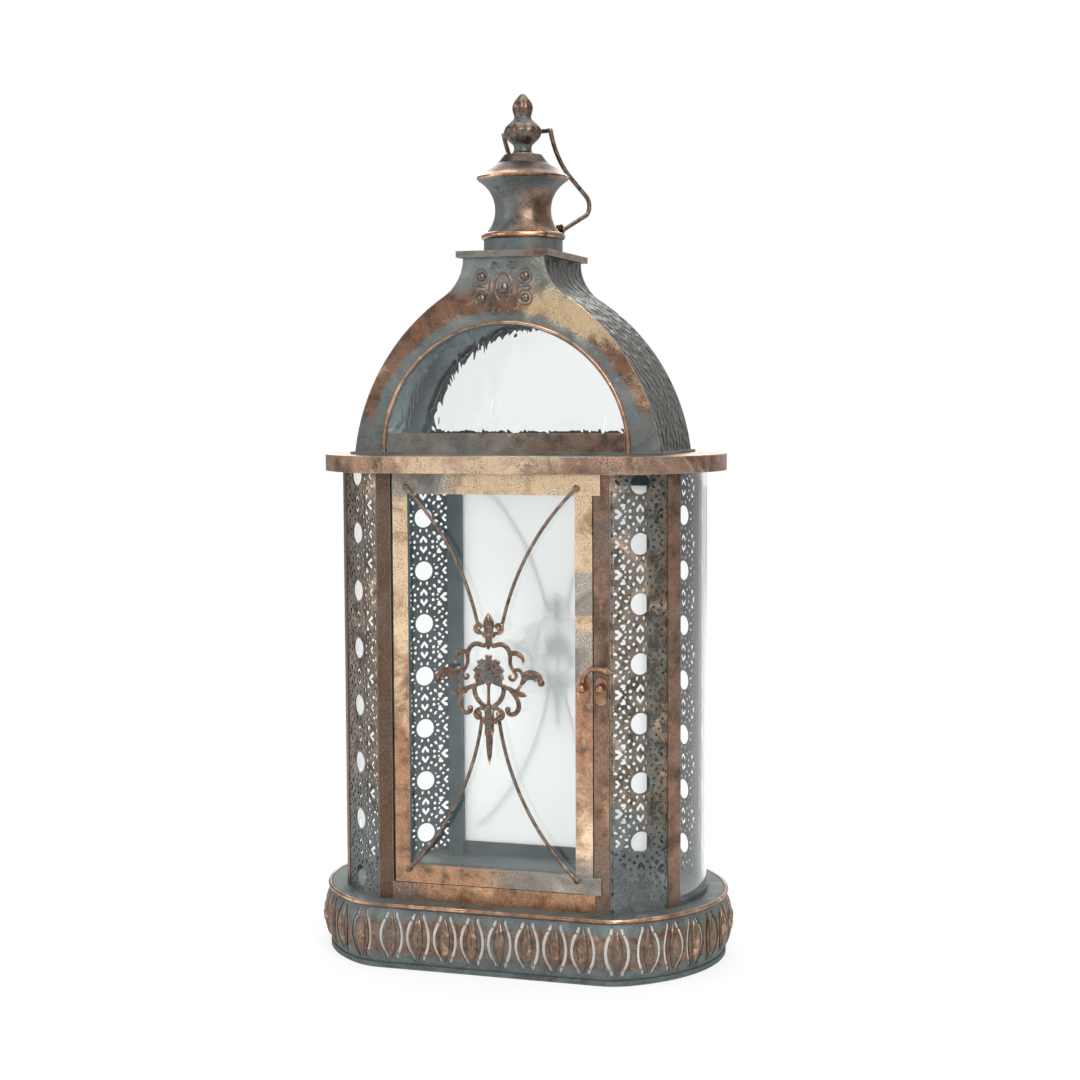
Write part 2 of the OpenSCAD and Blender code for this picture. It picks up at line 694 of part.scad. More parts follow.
module door_frame() color(copper) difference() {
  union() {
    translate([0, 0, door_z0]) linear_extrude(height = door_z1 - door_z0) difference() {
      translate([-door_half_w, door_front]) square([2 * door_half_w, door_t]);
      difference() {
        translate([-door_half_w - 1, door_front - 1]) square(stile_round + 1);
        translate([-door_half_w + stile_round, door_front + stile_round]) circle(r = stile_round, $fn = 32);
      }
    }
    for (z = [door_z0, door_z1 - door_head_h]) translate([door_half_w - ear_root, door_front - ear_t, z]) {
      ear_h = z == door_z0 ? door_foot_h : door_head_h;
      cube([ear_root + ear_w, ear_t, ear_h]);
      cube([ear_root, 2 * ear_t, ear_h]);
    }
  }
  translate([-door_half_w + stile_w, door_front - ear_t - 1, door_z0 + door_foot_h])
    cube([2 * (door_half_w - stile_w), door_t + ear_t + 2, door_z1 - door_z0 - door_foot_h - door_head_h]);
  translate([-door_half_w + stile_w - rebate_w, door_back - glass_t, door_z0 + door_foot_h - rebate_w])
    cube([2 * (door_half_w - stile_w + rebate_w), glass_t + 1,
      door_z1 - door_z0 - door_foot_h - door_head_h + 2 * rebate_w]);
  for (z = [door_z0 - 1, door_z1 - pin_depth]) translate([pivot_x, pivot_y, z])
    cylinder(r = pin_hole_r, h = pin_depth + 1, $fn = 32);
}

module door_glass() color(clear_glass) {
  inset = rebate_w - glass_clear;
  translate([-door_half_w + stile_w - inset, door_back - glass_t, door_z0 + door_foot_h - inset])
    cube([2 * (door_half_w - stile_w + inset), glass_t,
      door_z1 - door_z0 - door_foot_h - door_head_h + 2 * inset]);
}

// Small bent clips on the inside, which hold the door's glass
module door_glass_clips() color("lightgray") {
  clip = [rebate_w + 3, 1, 8];
  for (side = [0, 1], t = [0.2, 0.8]) mirror([side, 0, 0])
    translate([door_half_w - stile_w - 1, door_back, door_z0 + t * (door_z1 - door_z0)]) cube(clip);
}

// Pins in the top and bottom of the hinge stile, which turn in the soffit and in the sill
module door_pivots() color("dimgray") {
  reach = pin_depth / 2 - seam;
  translate([pivot_x, pivot_y, door_z0 - door_gap_z - reach])
    cylinder(r = pin_r, h = reach + door_gap_z + pin_depth - seam, $fn = 32);
  translate([pivot_x, pivot_y, door_z1 - pin_depth + seam])
    cylinder(r = pin_r, h = pin_depth + door_gap_z + eave_t, $fn = 32);
}

// ---- Latch ----

// Flat plate with round ends, its back at y = 0
module oval_plate(w, h, t) rotate([90, 0, 0]) linear_extrude(height = t) {
  square([w, h - w], center = true);
  for (side = [-1, 1]) translate([0, side * (h - w) / 2]) circle(r = w / 2, $fn = 32);
}

module latch_plate() color(copper) translate([latch_x, door_front, latch_z]) {
  translate([0, 0, -2]) oval_plate(11, 25, latch_plate_t);
  rotate([90, 0, 0]) cylinder(r = latch_pin_r, h = latch_plate_t + latch_eye_t + ball_gap + 1, $fn = 32);
  translate([0, -latch_plate_t - latch_eye_t - ball_gap - ball_r, 0]) sphere(r = ball_r, $fn = 32);
}

// The hook's eye is flat; its wire starts above the pivot and bends over to a pointed end
module latch_hook() color(copper) translate([latch_x, 0, latch_z]) {
  bend_z = latch_eye_r + 1.4;
  end_a = 12;
  swell = 7;
  tip = 6;
  difference() {
    translate([0, latch_plate_y - 0.1, 0]) rotate([90, 0, 0])
      cylinder(r = latch_eye_r, h = latch_eye_t, $fn = 32);
    translate([0, latch_plate_y + 1, 0]) rotate([90, 0, 0])
      cylinder(r = latch_pin_r + pin_clear, h = latch_eye_t + 4, $fn = 32);
  }
  translate([0, hook_y, bend_z]) sphere(r = hook_wire_r + 2 * knuckle, $fn = 24);
  translate([hook_bend_r, hook_y, bend_z]) {
    rotate([90, 0, 0]) rotate(90 - end_a) rotate_extrude(angle = 90 + end_a, $fn = 64)
      translate([hook_bend_r, 0]) circle(r = hook_wire_r, $fn = 24);
    rotate([0, end_a, 0]) translate([0, 0, hook_bend_r]) rotate([0, 90, 0]) {
      translate([0, 0, -knuckle]) cylinder(r1 = hook_wire_r + knuckle, r2 = hook_end_r, h = swell, $fn = 32);
      translate([0, 0, swell - knuckle]) cylinder(r1 = hook_end_r, r2 = 0.4, h = tip, $fn = 32);
    }
  }
}

module latch_stud() color(copper) translate([stud_x, -half_depth, latch_z]) {
  translate([0, 0, -3]) oval_plate(9, 23, latch_plate_t);
  rotate([90, 0, 0]) cylinder(r = latch_pin_r, h = latch_plate_t + ball_gap + 1, $fn = 32);
  translate([0, -latch_plate_t - ball_gap - ball_r, 0]) sphere(r = ball_r, $fn = 32);
}

// ---- Eave ----

module eave_opening() square([2 * (roof_half_w - eave_lap), 2 * (roof_half_d - eave_lap)], center = true);

module eave_soffit() color(patina) difference() {
  translate([0, 0, eave_z]) linear_extrude(height = eave_t) difference() {
    plan(eave_out - eave_t);
    eave_opening();
  }
  translate([pivot_x, pivot_y, eave_z - 1]) cylinder(r = pin_hole_r, h = eave_t + 2, $fn = 32);
}

module eave_plate() color(copper) {
  translate([0, 0, eave_z]) linear_extrude(height = eave_h) difference() {
    plan(eave_out);
    plan(eave_out - eave_t);
  }
  translate([0, 0, roof_z - eave_t]) linear_extrude(height = eave_t) difference() {
    plan(eave_out - eave_t / 2);
    eave_opening();
  }
  translate([0, 0, eave_z + eave_t]) linear_extrude(height = eave_h - 2 * eave_t) difference() {
    square([2 * (roof_half_w - eave_lap + eave_t), 2 * (roof_half_d - eave_lap + eave_t)], center = true);
    eave_opening();
  }
}

// ---- Roof ----

// Half outline of the roof for x > 0, drawn inwards by inset
module roof_half(inset) {
  intersection() {
    translate([shoulder_cx, shoulder_z]) circle(r = shoulder_r - inset, $fn = 160);
    translate([0, roof_base_z]) square([roof_half_w, turn_z - roof_base_z]);
  }
  difference() {
    translate([0, turn_z - seam]) square([neck_cx, collar_z - turn_z + seam]);
    translate([neck_cx, collar_z]) circle(r = neck_r + inset, $fn = 96);
  }
}

module roof_flange() color(patina) translate([0, 0, roof_z]) linear_extrude(height = flange_t) difference() {
  square([2 * (roof_half_w + flange_out), 2 * (roof_half_d + flange_out)], center = true);
  eave_opening();
}

module roof_face() color(copper) translate([0, -roof_half_d + roof_t, 0]) rotate([90, 0, 0])
  linear_extrude(height = roof_t) difference() {
    for (side = [0, 1]) mirror([side, 0]) roof_half(0);
    translate([0, roof_base_z]) circle(r = window_r, $fn = 128);
  }
module roof_front() corner(0, 0) roof_face();
module roof_rear() corner(0, 1) roof_face();

module roof_side() color("slategray") translate([0, roof_half_d - roof_t, 0]) rotate([90, 0, 0])
  linear_extrude(height = 2 * (roof_half_d - roof_t)) intersection() {
    difference() {
      roof_half(0);
      roof_half(roof_t);
    }
    translate([neck_half_w / 2, roof_base_z]) square([roof_half_w, roof_h]);
  }
module roof_side_left() corner(1, 0) roof_side();
module roof_side_right() corner(0, 0) roof_side();

module roof_glass() color(clear_glass) translate([0, -roof_half_d + roof_t + glass_t, 0]) rotate([90, 0, 0])
  linear_extrude(height = glass_t) intersection() {
    translate([0, roof_base_z]) circle(r = window_r + glass_lap, $fn = 128);
    translate([-window_r - glass_lap, roof_base_z])
      square([2 * (window_r + glass_lap), window_r + glass_lap]);
  }
module roof_glass_front() corner(0, 0) roof_glass();
module roof_glass_rear() corner(0, 1) roof_glass();

module window_bead() color(copper) translate([0, -roof_half_d + roof_t - window_bead_r, roof_base_z])
  rotate([90, 0, 0]) rotate_extrude(angle = 180, $fn = 128)
    translate([window_r - window_bead_r - seam, 0]) circle(r = window_bead_r, $fn = 24);
module window_bead_front() corner(0, 0) window_bead();
module window_bead_rear() corner(0, 1) window_bead();

module window_rail() color(dark_copper) {
  inner_r = window_r - 2 * window_bead_r - 2 * seam;
  half_w = sqrt(inner_r * inner_r - window_rail_h * window_rail_h);
  translate([-half_w, -roof_half_d, roof_base_z]) cube([2 * half_w, roof_t, window_rail_h]);
}
module window_rail_front() corner(0, 0) window_rail();
module window_rail_rear() corner(0, 1) window_rail();

// A low dome on the roof's front face
module boss(x, z, r) translate([x, -roof_half_d, z]) intersection() {
  translate([0, r * 0.25, 0]) sphere(r = r, $fn = 48);
  translate([-r, -r, -r]) cube([2 * r, r, 2 * r]);
}

module roof_bosses() color(copper) for (rear = [0, 1]) corner(0, rear) {
  boss_z = collar_z - boss_drop;
  boss(0, boss_z, boss_r);
  for (side = [-1, 1], rise = [2.3, -1.9])
    boss(side * boss_r * 2.6, boss_z + small_boss_r * rise, small_boss_r);
}

// ---- Collar, cap and finial ----

module collar_plate() color(patina) difference() {
  translate([-collar_half_w, -roof_half_d - collar_out, collar_z])
    cube([2 * collar_half_w, 2 * (roof_half_d + collar_out), collar_t]);
  translate([0, 0, collar_z - 1]) cylinder(r = waist_r - cap_t, h = collar_t + 2);
}

// Filled half section of the chimney, drawn inwards by inset
module chimney_half(inset) {
  square([chimney_foot_r - inset, ring_h]);
  translate([ring_r - ring_bead_r, ring_h]) circle(r = ring_bead_r - inset / 2, $fn = 32);
  difference() {
    translate([0, ring_h - seam]) square([waist_r + waist_bend_r, chimney_h - ring_h + seam]);
    translate([waist_r + waist_bend_r, waist_h]) circle(r = waist_bend_r + inset, $fn = 64);
  }
}

module chimney() color(patina) translate([0, 0, cap_z]) rotate_extrude($fn = 96) difference() {
  chimney_half(0);
  intersection() {
    chimney_half(cap_t);
    translate([0, -1]) square([ring_r - ring_bead_r, chimney_h + 2]);
  }
  translate([0, -1]) square([waist_r - cap_t, chimney_h + 2]);
}

module cap() color(dark_copper) translate([0, 0, cone_z]) {
  waist_top_r = brim_r - 1.6;
  rotate_extrude($fn = 96) difference() {
    polygon([
      [0, 0], [waist_top_r, 0], [brim_r, brim_t / 2], [brim_r, brim_t],
      [brim_r * 0.56, brim_t + cone_h * 0.62], [cone_top_r, brim_t + cone_h], [0, brim_t + cone_h]
    ]);
    polygon([
      [0, cap_t], [waist_r - cap_t, cap_t], [brim_r * 0.56 - 2 * cap_t, brim_t + cone_h * 0.5],
      [cone_top_r - 2 * cap_t, brim_t + cone_h - cap_t], [0, brim_t + cone_h - cap_t]
    ]);
    square([screw_r + pin_clear, brim_t + cone_h]);
  }
}

module finial() color(patina) translate([0, 0, finial_z]) difference() {
  rotate_extrude($fn = 64) intersection() {
    union() {
      square([finial_neck_r + 1.4, 2.2]);
      square([finial_neck_r, bud_z - finial_z]);
      translate([bulb_r - bulb_bend_r, bulb_z - finial_z]) circle(r = bulb_bend_r);
      translate([bud_r - bud_bend_r, bud_z - finial_z]) circle(r = bud_bend_r);
    }
    square([bulb_r + 1, bud_z - finial_z + bud_tip_h]);
  }
  translate([0, 0, -1]) cylinder(r = screw_r + pin_clear, h = finial_foot_h + 1, $fn = 32);
}

// Screw from inside the cap, its head under the cone's top
module finial_screw() color("dimgray") {
  seat_z = finial_z - cap_t;
  translate([0, 0, seat_z - 3]) cylinder(r = 2 * screw_r, h = 3 - seam, $fn = 32);
  translate([0, 0, seat_z - 1]) cylinder(r = screw_r, h = finial_foot_h + cap_t + 1 - seam, $fn = 32);
}

// ---- Bail ----

module at_bail() rotate(bail_turn) children();

module bail_ears() color(dark_copper) difference() {
  at_bail() for (side = [-1, 1]) translate([side * ear_pitch / 2 + bail_ear_t / 2, 0, 0])
    rotate([90, 0, -90]) linear_extrude(height = bail_ear_t) mirror([1, 0]) {
      translate([bail_pivot_e, bail_pivot_z]) circle(r = bail_ear_r, $fn = 32);
      translate([ring_r - 2 * bail_ear_r, cap_z + ring_h])
        square([bail_pivot_e + 3 * bail_ear_r - ring_r, bail_pivot_h - ring_h]);
    }
  at_bail() translate([-ear_pitch, bail_pivot_e, bail_pivot_z]) rotate([0, 90, 0])
    cylinder(r = wire_r + bail_clear, h = 2 * ear_pitch, $fn = 32);
  translate([0, 0, cap_z]) rotate_extrude($fn = 96) {
    chimney_half(0);
    square([ring_r + seam, ring_h]);
  }
}

// One leg in the plane x = 0, from the pivot outwards and up, as straights and bends in turn
low_end = [bail_low * cos(bail_rise), bail_low * sin(bail_rise)];
low_c = low_end + bail_low_r * [-sin(bail_rise), cos(bail_rise)];
high_dir = bail_rise + bail_low_turn;
high_start = low_c + bail_low_r * [sin(high_dir), -cos(high_dir)];
high_end = high_start + bail_high * [cos(high_dir), sin(high_dir)];
high_c = high_end + bail_high_r * [sin(high_dir), -cos(high_dir)];
top_dir = high_dir - bail_high_turn;
top_end = high_c + bail_high_r * [-sin(top_dir), cos(top_dir)];

// A knuckle that hides the joint of two lengths of wire
module wire_joint(p) translate([0, p.x, p.y]) sphere(r = wire_r + knuckle, $fn = 24);

module straight(from, dir, len) translate([0, from.x, from.y]) rotate([dir - 90, 0, 0])
  cylinder(r = wire_r, h = len, $fn = 24);

module bend(c, r, a0, turn) translate([0, c.x, c.y]) rotate([90, 0, 90]) rotate(a0)
  rotate_extrude(angle = turn, $fn = 96) translate([r, 0]) circle(r = wire_r, $fn = 24);

module bail_leg() {
  straight([0, 0], bail_rise, bail_low);
  bend(low_c, bail_low_r, bail_rise - 90, bail_low_turn);
  straight(high_start, high_dir, bail_high);
  bend(high_c, bail_high_r, top_dir + 90, bail_high_turn);
  for (p = [[0, 0], low_end, high_start, high_end, top_end]) wire_joint(p);
}

module bail() color(dark_copper) at_bail() translate([bail_slide, bail_pivot_e, bail_pivot_z]) {
  for (side = [-1, 1]) translate([side * bail_w / 2, 0, 0]) bail_leg();
  for (p = [[0, 0], top_end]) translate([-bail_w / 2, p.x, p.y]) rotate([0, 90, 0])
    cylinder(r = wire_r, h = bail_w, $fn = 24);
}

foot_rim();
base_band();
base_liner();
base_top();
ledge_bead();
post_front_left();
post_front_right();
post_rear_left();
post_rear_right();
side_post_front_left();
side_post_front_right();
side_post_rear_left();
side_post_rear_right();
panel_front_left();
panel_front_right();
panel_rear_left();
panel_rear_right();
side_glass_left();
side_glass_right();
glass_track_left();
glass_track_right();
front_sill();
rear_bottom_rail();
rear_top_rail();
rear_glass();
rear_arcs();
rear_ornament();
door_frame();
door_glass();
door_glass_clips();
door_arcs();
door_ornament();
door_pivots();
latch_plate();
latch_hook();
latch_stud();
eave_soffit();
eave_plate();
roof_flange();
roof_front();
roof_rear();
roof_side_left();
roof_side_right();
roof_glass_front();
roof_glass_rear();
window_bead_front();
window_bead_rear();
window_rail_front();
window_rail_rear();
roof_bosses();
collar_plate();
chimney();
cap();
finial();
finial_screw();
bail_ears();
bail();
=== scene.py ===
import math

import bmesh
import bpy
from mathutils import Matrix, Vector


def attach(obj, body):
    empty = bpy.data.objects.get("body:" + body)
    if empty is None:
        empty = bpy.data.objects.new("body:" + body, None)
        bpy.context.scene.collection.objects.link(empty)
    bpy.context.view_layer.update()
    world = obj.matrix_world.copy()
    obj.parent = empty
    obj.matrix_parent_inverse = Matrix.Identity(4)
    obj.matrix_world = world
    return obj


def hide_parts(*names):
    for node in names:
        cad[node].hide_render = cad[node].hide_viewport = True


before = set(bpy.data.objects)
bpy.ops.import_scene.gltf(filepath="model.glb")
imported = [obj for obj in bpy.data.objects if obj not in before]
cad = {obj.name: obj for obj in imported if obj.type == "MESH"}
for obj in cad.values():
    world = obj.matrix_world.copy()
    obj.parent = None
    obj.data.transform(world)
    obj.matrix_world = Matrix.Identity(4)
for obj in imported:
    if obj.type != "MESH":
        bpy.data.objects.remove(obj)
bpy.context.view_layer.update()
scene = bpy.context.scene
mm = 0.001


# helpers

def lin(red, green, blue):  # a colour from 0-255 values, as the shader wants it
    def one(value):
        value /= 255
        return value / 12.92 if value <= 0.04045 else ((value + 0.055) / 1.055) ** 2.4
    return (one(red), one(green), one(blue), 1.0)


class Signal:  # what a socket gives, with plain arithmetic
    def __init__(self, web, socket):
        self.web = web
        self.socket = socket

    def __add__(self, other):
        return self.web.math("ADD", self, other)

    def __radd__(self, other):
        return self.web.math("ADD", other, self)

    def __sub__(self, other):
        return self.web.math("SUBTRACT", self, other)

    def __rsub__(self, other):
        return self.web.math("SUBTRACT", other, self)

    def __mul__(self, other):
        return self.web.math("MULTIPLY", self, other)

    def __rmul__(self, other):
        return self.web.math("MULTIPLY", other, self)

    def __truediv__(self, other):
        return self.web.math("DIVIDE", self, other)


class Web:  # adds and joins nodes in one tree
    def __init__(self, tree):
        self.tree = tree

    def put(self, socket, value):
        if isinstance(value, Signal):
            self.tree.links.new(value.socket, socket)
        else:
            socket.default_value = value

    def add(self, kind, inputs=None, out=0, **settings):
        made = self.tree.nodes.new(kind)
        for name, value in settings.items():
            setattr(made, name, value)
        for name, value in (inputs or {}).items():
            self.put(made.inputs[name], value)
        return Signal(self, made.outputs[out])

    def math(self, operation, *values, clamp=False):
        return self.add("ShaderNodeMath", dict(enumerate(values)), operation=operation, use_clamp=clamp)

    def most(self, *values):
        highest = values[0]
        for value in values[1:]:
            highest = self.math("MAXIMUM", highest, value)
        return highest

    def vector(self, operation, *values, out=0):
        return self.add("ShaderNodeVectorMath", dict(enumerate(values)), out, operation=operation)

    def split(self, vector):
        made = self.tree.nodes.new("ShaderNodeSeparateXYZ")
        self.put(made.inputs[0], vector)
        return [Signal(self, socket) for socket in made.outputs]

    def join(self, x=0.0, y=0.0, z=0.0):
        return self.add("ShaderNodeCombineXYZ", {0: x, 1: y, 2: z})

    def gather(self, *parts):
        made = self.tree.nodes.new("GeometryNodeJoinGeometry")
        for part in parts:
            self.put(made.inputs[0], part)
        return Signal(self, made.outputs[0])

    def place(self):
        return self.add("ShaderNodeTexCoord", out="Object")

    def mix(self, share, first, second, blend="MIX"):
        return self.add("ShaderNodeMix", {0: share, 6: first, 7: second}, 2,
                        data_type="RGBA", blend_type=blend)

    def step(self, value, low, high, floor=0.0, top=1.0):  # a soft step from low to high
        return self.add("ShaderNodeMapRange", dict(enumerate((value, low, high, floor, top))),
                        interpolation_type="SMOOTHSTEP")

    def noise(self, where, scale, detail=3.0, rough=0.55, warp=0.0):
        return self.add("ShaderNodeTexNoise", {
            "Vector": where, "Scale": scale, "Detail": detail, "Roughness": rough, "Distortion": warp}, "Fac")


def newGroup(name, treeKind, ins, outs):  # ins: label to default, or to the socket's kind
    tree = bpy.data.node_groups.new(name, treeKind)
    for label, value in ins.items():
        kind = value if isinstance(value, str) else "Color" if isinstance(value, tuple) else "Float"
        socket = tree.interface.new_socket(name=label, in_out="INPUT", socket_type="NodeSocket" + kind)
        if kind != value:
            socket.default_value = value
    for label, kind in outs.items():
        tree.interface.new_socket(name=label, in_out="OUTPUT", socket_type="NodeSocket" + kind)
    web = Web(tree)
    given = {socket.name: Signal(web, socket) for socket in tree.nodes.new("NodeGroupInput").outputs}
    return web, given, tree.nodes.new("NodeGroupOutput").inputs


def newStuff(name):
    stuff = bpy.data.materials.new(name)
    stuff.use_nodes = True
    nodes = stuff.node_tree.nodes
    return stuff, Web(stuff.node_tree), nodes["Principled BSDF"], nodes["Material Output"].inputs["Surface"]


def meshObject(name, points, faces, edges=()):
    mesh = bpy.data.meshes.new(name)
    mesh.from_pydata([tuple(p) for p in points], edges, faces)
    thing = bpy.data.objects.new(name, mesh)
    scene.collection.objects.link(thing)
    return thing


def shadeSmooth(thing, angle):
    thing.data.shade_smooth()
    thing.data.set_sharp_from_angle(angle=angle)


def outwards(thing, merge=0.0):  # closes doubles and points every face outwards
    work = bmesh.new()
    work.from_mesh(thing.data)
    if merge:
        bmesh.ops.remove_doubles(work, verts=work.verts, dist=merge)
    bmesh.ops.recalc_face_normals(work, faces=work.faces)
    work.to_mesh(thing.data)
    work.free()


def newMeshOf(thing):
    bpy.context.view_layer.update()
    ready = thing.evaluated_get(bpy.context.evaluated_depsgraph_get())
    return bpy.data.meshes.new_from_object(ready)


def applyModifiers(thing):
    mesh = newMeshOf(thing)
    thing.modifiers.clear()
    thing.data = mesh


def throughTree(thing, tree, values):  # runs a geometry tree on a piece and keeps the plain mesh
    modifier = thing.modifiers.new(tree.name, "NODES")
    modifier.node_group = tree
    sockets = {s.name: s.identifier for s in tree.interface.items_tree
               if s.item_type == "SOCKET" and s.in_out == "INPUT"}
    for name, value in values.items():
        modifier[sockets[name]] = value
    thing.update_tag()
    applyModifiers(thing)


# finishes

def buildAgedSkin():  # old copper: brown ground, blue-grey patina, worn bright rims and patches that are also painted highlights, and painted light and shade on the lantern's inner faces
    web, given, out = newGroup("agedSkin", "ShaderNodeTree", {
        "Ground": lin(120, 90, 72), "Dark": lin(60, 50, 46), "Patina": lin(95, 115, 118),
        "Rubbed And Highlight": lin(222, 184, 156), "Patina Share": 0.4, "Rub Share": 0.3, "Edge Width": 0.0012,
        "Edge Share": 0.7, "Speckle": 0.4, "Blotch Scale": 16.0, "Rough": 0.38,
        "Inside": lin(84, 100, 104), "Inner Light And Shade Share": 1.0,
    }, {"Color": "Color", "Roughness": "Float", "Metal": "Float", "Height": "Float"})
    place = web.place()
    big = web.noise(place, given["Blotch Scale"], 4, 0.6, 0.5)
    mid = web.noise(place, given["Blotch Scale"] * 5.3, 5, 0.65)
    fine = web.noise(place, 750, 3, 0.7)
    grit = web.noise(place, 2100, 1, 0.5)
    other = web.noise(web.vector("ADD", place, (3.1, 1.7, 0.4)), given["Blotch Scale"] * 1.7, 5, 0.66, 0.8)
    # patina gathers in patches whose cover the share sets
    grain = (fine - 0.5) * 0.55
    gathered = big * 0.62 + mid * 0.38 + grain
    patchEdge = 0.74 - given["Patina Share"] * 0.48
    patina = web.step(gathered, patchEdge - 0.09, patchEdge + 0.09)
    # worn bright metal and painted highlight: patches where hands reach and where the share paints a
    # highlight, and the bevelled rims, which are both wear and a painted highlight
    rubAndHighlightCut = 0.76 - given["Rub Share"] * 0.46
    patches = web.step(other + grain * 0.8, rubAndHighlightCut - 0.07, rubAndHighlightCut + 0.12)
    normal = web.add("ShaderNodeNewGeometry", out="Normal")
    bevel = web.add("ShaderNodeBevel", {"Radius": given["Edge Width"]}, samples=4)
    facing = web.vector("DOT_PRODUCT", bevel, normal, out="Value")
    edgeWearAndHighlight = web.step(1.0 - facing, 0.01, 0.12) * web.step(mid, 0.3, 0.6, 0.35, 1.0) * given["Edge Share"]
    rubAndHighlight = web.math("MAXIMUM", patches, edgeWearAndHighlight, clamp=True)
    specks = fine * 0.65 + grit * 0.35
    cover = 0.6 - given["Speckle"] * 0.1
    speck = web.step(specks, cover, cover + 0.07) * (0.25 + given["Speckle"] * 0.6)
    speck = speck * web.step(mid, 0.38, 0.58, 0.3, 1.0)
    color = web.mix(web.step(mid, 0.34, 0.62), given["Dark"], given["Ground"])
    color = web.mix(rubAndHighlight, color, given["Rubbed And Highlight"])
    shaded = web.mix(1.0, given["Patina"], (0.48, 0.53, 0.56, 1.0), "MULTIPLY")
    mottled = web.mix(web.step(other, 0.36, 0.62), shaded, given["Patina"])
    color = web.mix(patina * web.step(grain, -0.07, 0.03, 0.5, 0.95), color, mottled)
    color = web.mix(speck, color, given["Dark"])
    color = web.mix(web.step(grit, 0.52, 0.7) * 0.22, color, lin(214, 196, 176))
    # painted light and shade: faces that look at the lantern's own axis, or down within its roof, take the
    # inner colour, dark slate as painted shade by default and pale as painted light on the roof pieces
    flat = web.vector("NORMALIZE", web.vector("MULTIPLY", place, (1.0, 1.0, 0.0)))
    inward = web.step(web.vector("DOT_PRODUCT", flat, normal, out="Value"), -0.6, -0.3, 1.0, 0.0)
    high = web.split(place)[2]
    below = web.step(web.split(normal)[2], -0.5, -0.2, 1.0, 0.0) * web.step(high, 0.43, 0.435)
    innerLightAndShade = web.most(inward, below) * web.step(high, 0.604, 0.606, 1.0, 0.0) * given["Inner Light And Shade Share"]
    shaded = web.mix(1.0, given["Inside"], (0.55, 0.58, 0.6, 1.0), "MULTIPLY")
    color = web.mix(innerLightAndShade, color, web.mix(web.step(mid, 0.3, 0.7), given["Inside"], shaded))
    web.put(out["Color"], color)
    web.put(out["Roughness"], given["Rough"] + web.most(patina, innerLightAndShade) * 0.16 - rubAndHighlight * 0.1 + fine * 0.12)
    web.put(out["Metal"], (1.0 - patina * 0.55) * (1.0 - innerLightAndShade * 0.7))
    web.put(out["Height"], fine * 0.5 + mid * 0.8 - speck * 0.5)
    return web.tree


agedSkin = buildAgedSkin()
skinDepth = 0.6 * mm


def agedMetal(name, ground, dark, patina, rubbedAndHighlight, values, bump=0.12, relief=None):
    stuff, web, shader, surface = newStuff(name)
    skin = web.tree.nodes.new("ShaderNodeGroup")
    skin.node_tree = agedSkin
    place = web.place()
    colours = {"Ground": ground, "Dark": dark, "Patina": patina, "Rubbed And Highlight": rubbedAndHighlight}
    for label, value in {**colours, **values}.items():
        if callable(value):
            value = value(web, place)
        elif isinstance(value, tuple):
            value = lin(*value)
        web.put(skin.inputs[label], value)
    gives = {socket.name: Signal(web, socket) for socket in skin.outputs}
    web.put(shader.inputs["Base Color"], gives["Color"])
    web.put(shader.inputs["Roughness"], gives["Roughness"])
    web.put(shader.inputs["Metallic"], gives["Metal"])
    bumps = {"Height": gives["Height"], "Strength": bump, "Distance": skinDepth}
    if relief:
        bumps["Normal"] = relief(web, place)
    web.put(shader.inputs["Normal"], web.add("ShaderNodeBump", bumps))
    return stuff


def paneGlass(name, tint, wave=None):  # clear to shadow rays, so that light gets in
    stuff, web, shader, surface = newStuff(name)
    shader.inputs["Base Color"].default_value = tint
    shader.inputs["Roughness"].default_value = 0.0
    shader.inputs["Transmission Weight"].default_value = 1.0
    shader.inputs["IOR"].default_value = 1.45
    if wave:
        tall = web.vector("MULTIPLY", web.place(), (1.0, 1.0, 0.4))
        web.put(shader.inputs["Normal"], web.add("ShaderNodeBump", {
            "Height": web.noise(tall, wave["scale"], 2, 0.5, 0.8), "Strength": wave["strength"],
            "Distance": wave["depth"]}))
    web.put(surface, web.add("ShaderNodeMixShader", {
        0: web.add("ShaderNodeLightPath", out="Is Shadow Ray"), 1: Signal(web, shader.outputs[0]),
        2: web.add("ShaderNodeBsdfTransparent", {"Color": tint})}))
    return stuff


def hazyGlass(name, haze):  # a clear pane under a thin white haze that light passes through
    stuff = paneGlass(name, lin(252, 253, 253))
    web = Web(stuff.node_tree)
    surface = stuff.node_tree.nodes["Material Output"].inputs["Surface"]
    white = {"Color": (1.0, 1.0, 1.0, 1.0)}
    chalk = web.add("ShaderNodeMixShader", {
        0: 0.5, 1: web.add("ShaderNodeBsdfTranslucent", white), 2: web.add("ShaderNodeBsdfDiffuse", white)})
    web.put(surface, web.add("ShaderNodeMixShader", {
        0: haze, 1: Signal(web, surface.links[0].from_socket), 2: chalk}))
    return stuff


# fields: a share or colour that changes over a piece

def ramp(axis, low, high, floor=0.0, top=1.0, about=None):  # along an axis, or away from a place on it
    def field(web, place):
        value = web.split(place)["XYZ".index(axis)]
        if about is not None:
            value = web.math("ABSOLUTE", value - about)
        return web.step(value, low, high, floor, top)
    return field


def joined(operation, *fields, extra=0.0):
    def field(web, place):
        value = fields[0](web, place)
        for other in fields[1:]:
            value = web.math(operation, value, other(web, place))
        return extra + value if extra else value
    return field


def product(*fields):
    return joined("MULTIPLY", *fields)


def between(share, first, second):  # from one colour to another
    return lambda web, place: web.mix(share(web, place), lin(*first), lin(*second))


def raised(low, high, floor, top):  # by how far the surface stands out
    return lambda web, place: web.step(
        web.add("ShaderNodeNewGeometry", out="Pointiness"), low, high, floor, top)


roofSize = {"baseZ": 438.7 * mm, "windowR": 112 * mm}
ornamentSize = {"palmetteZ": 258 * mm}


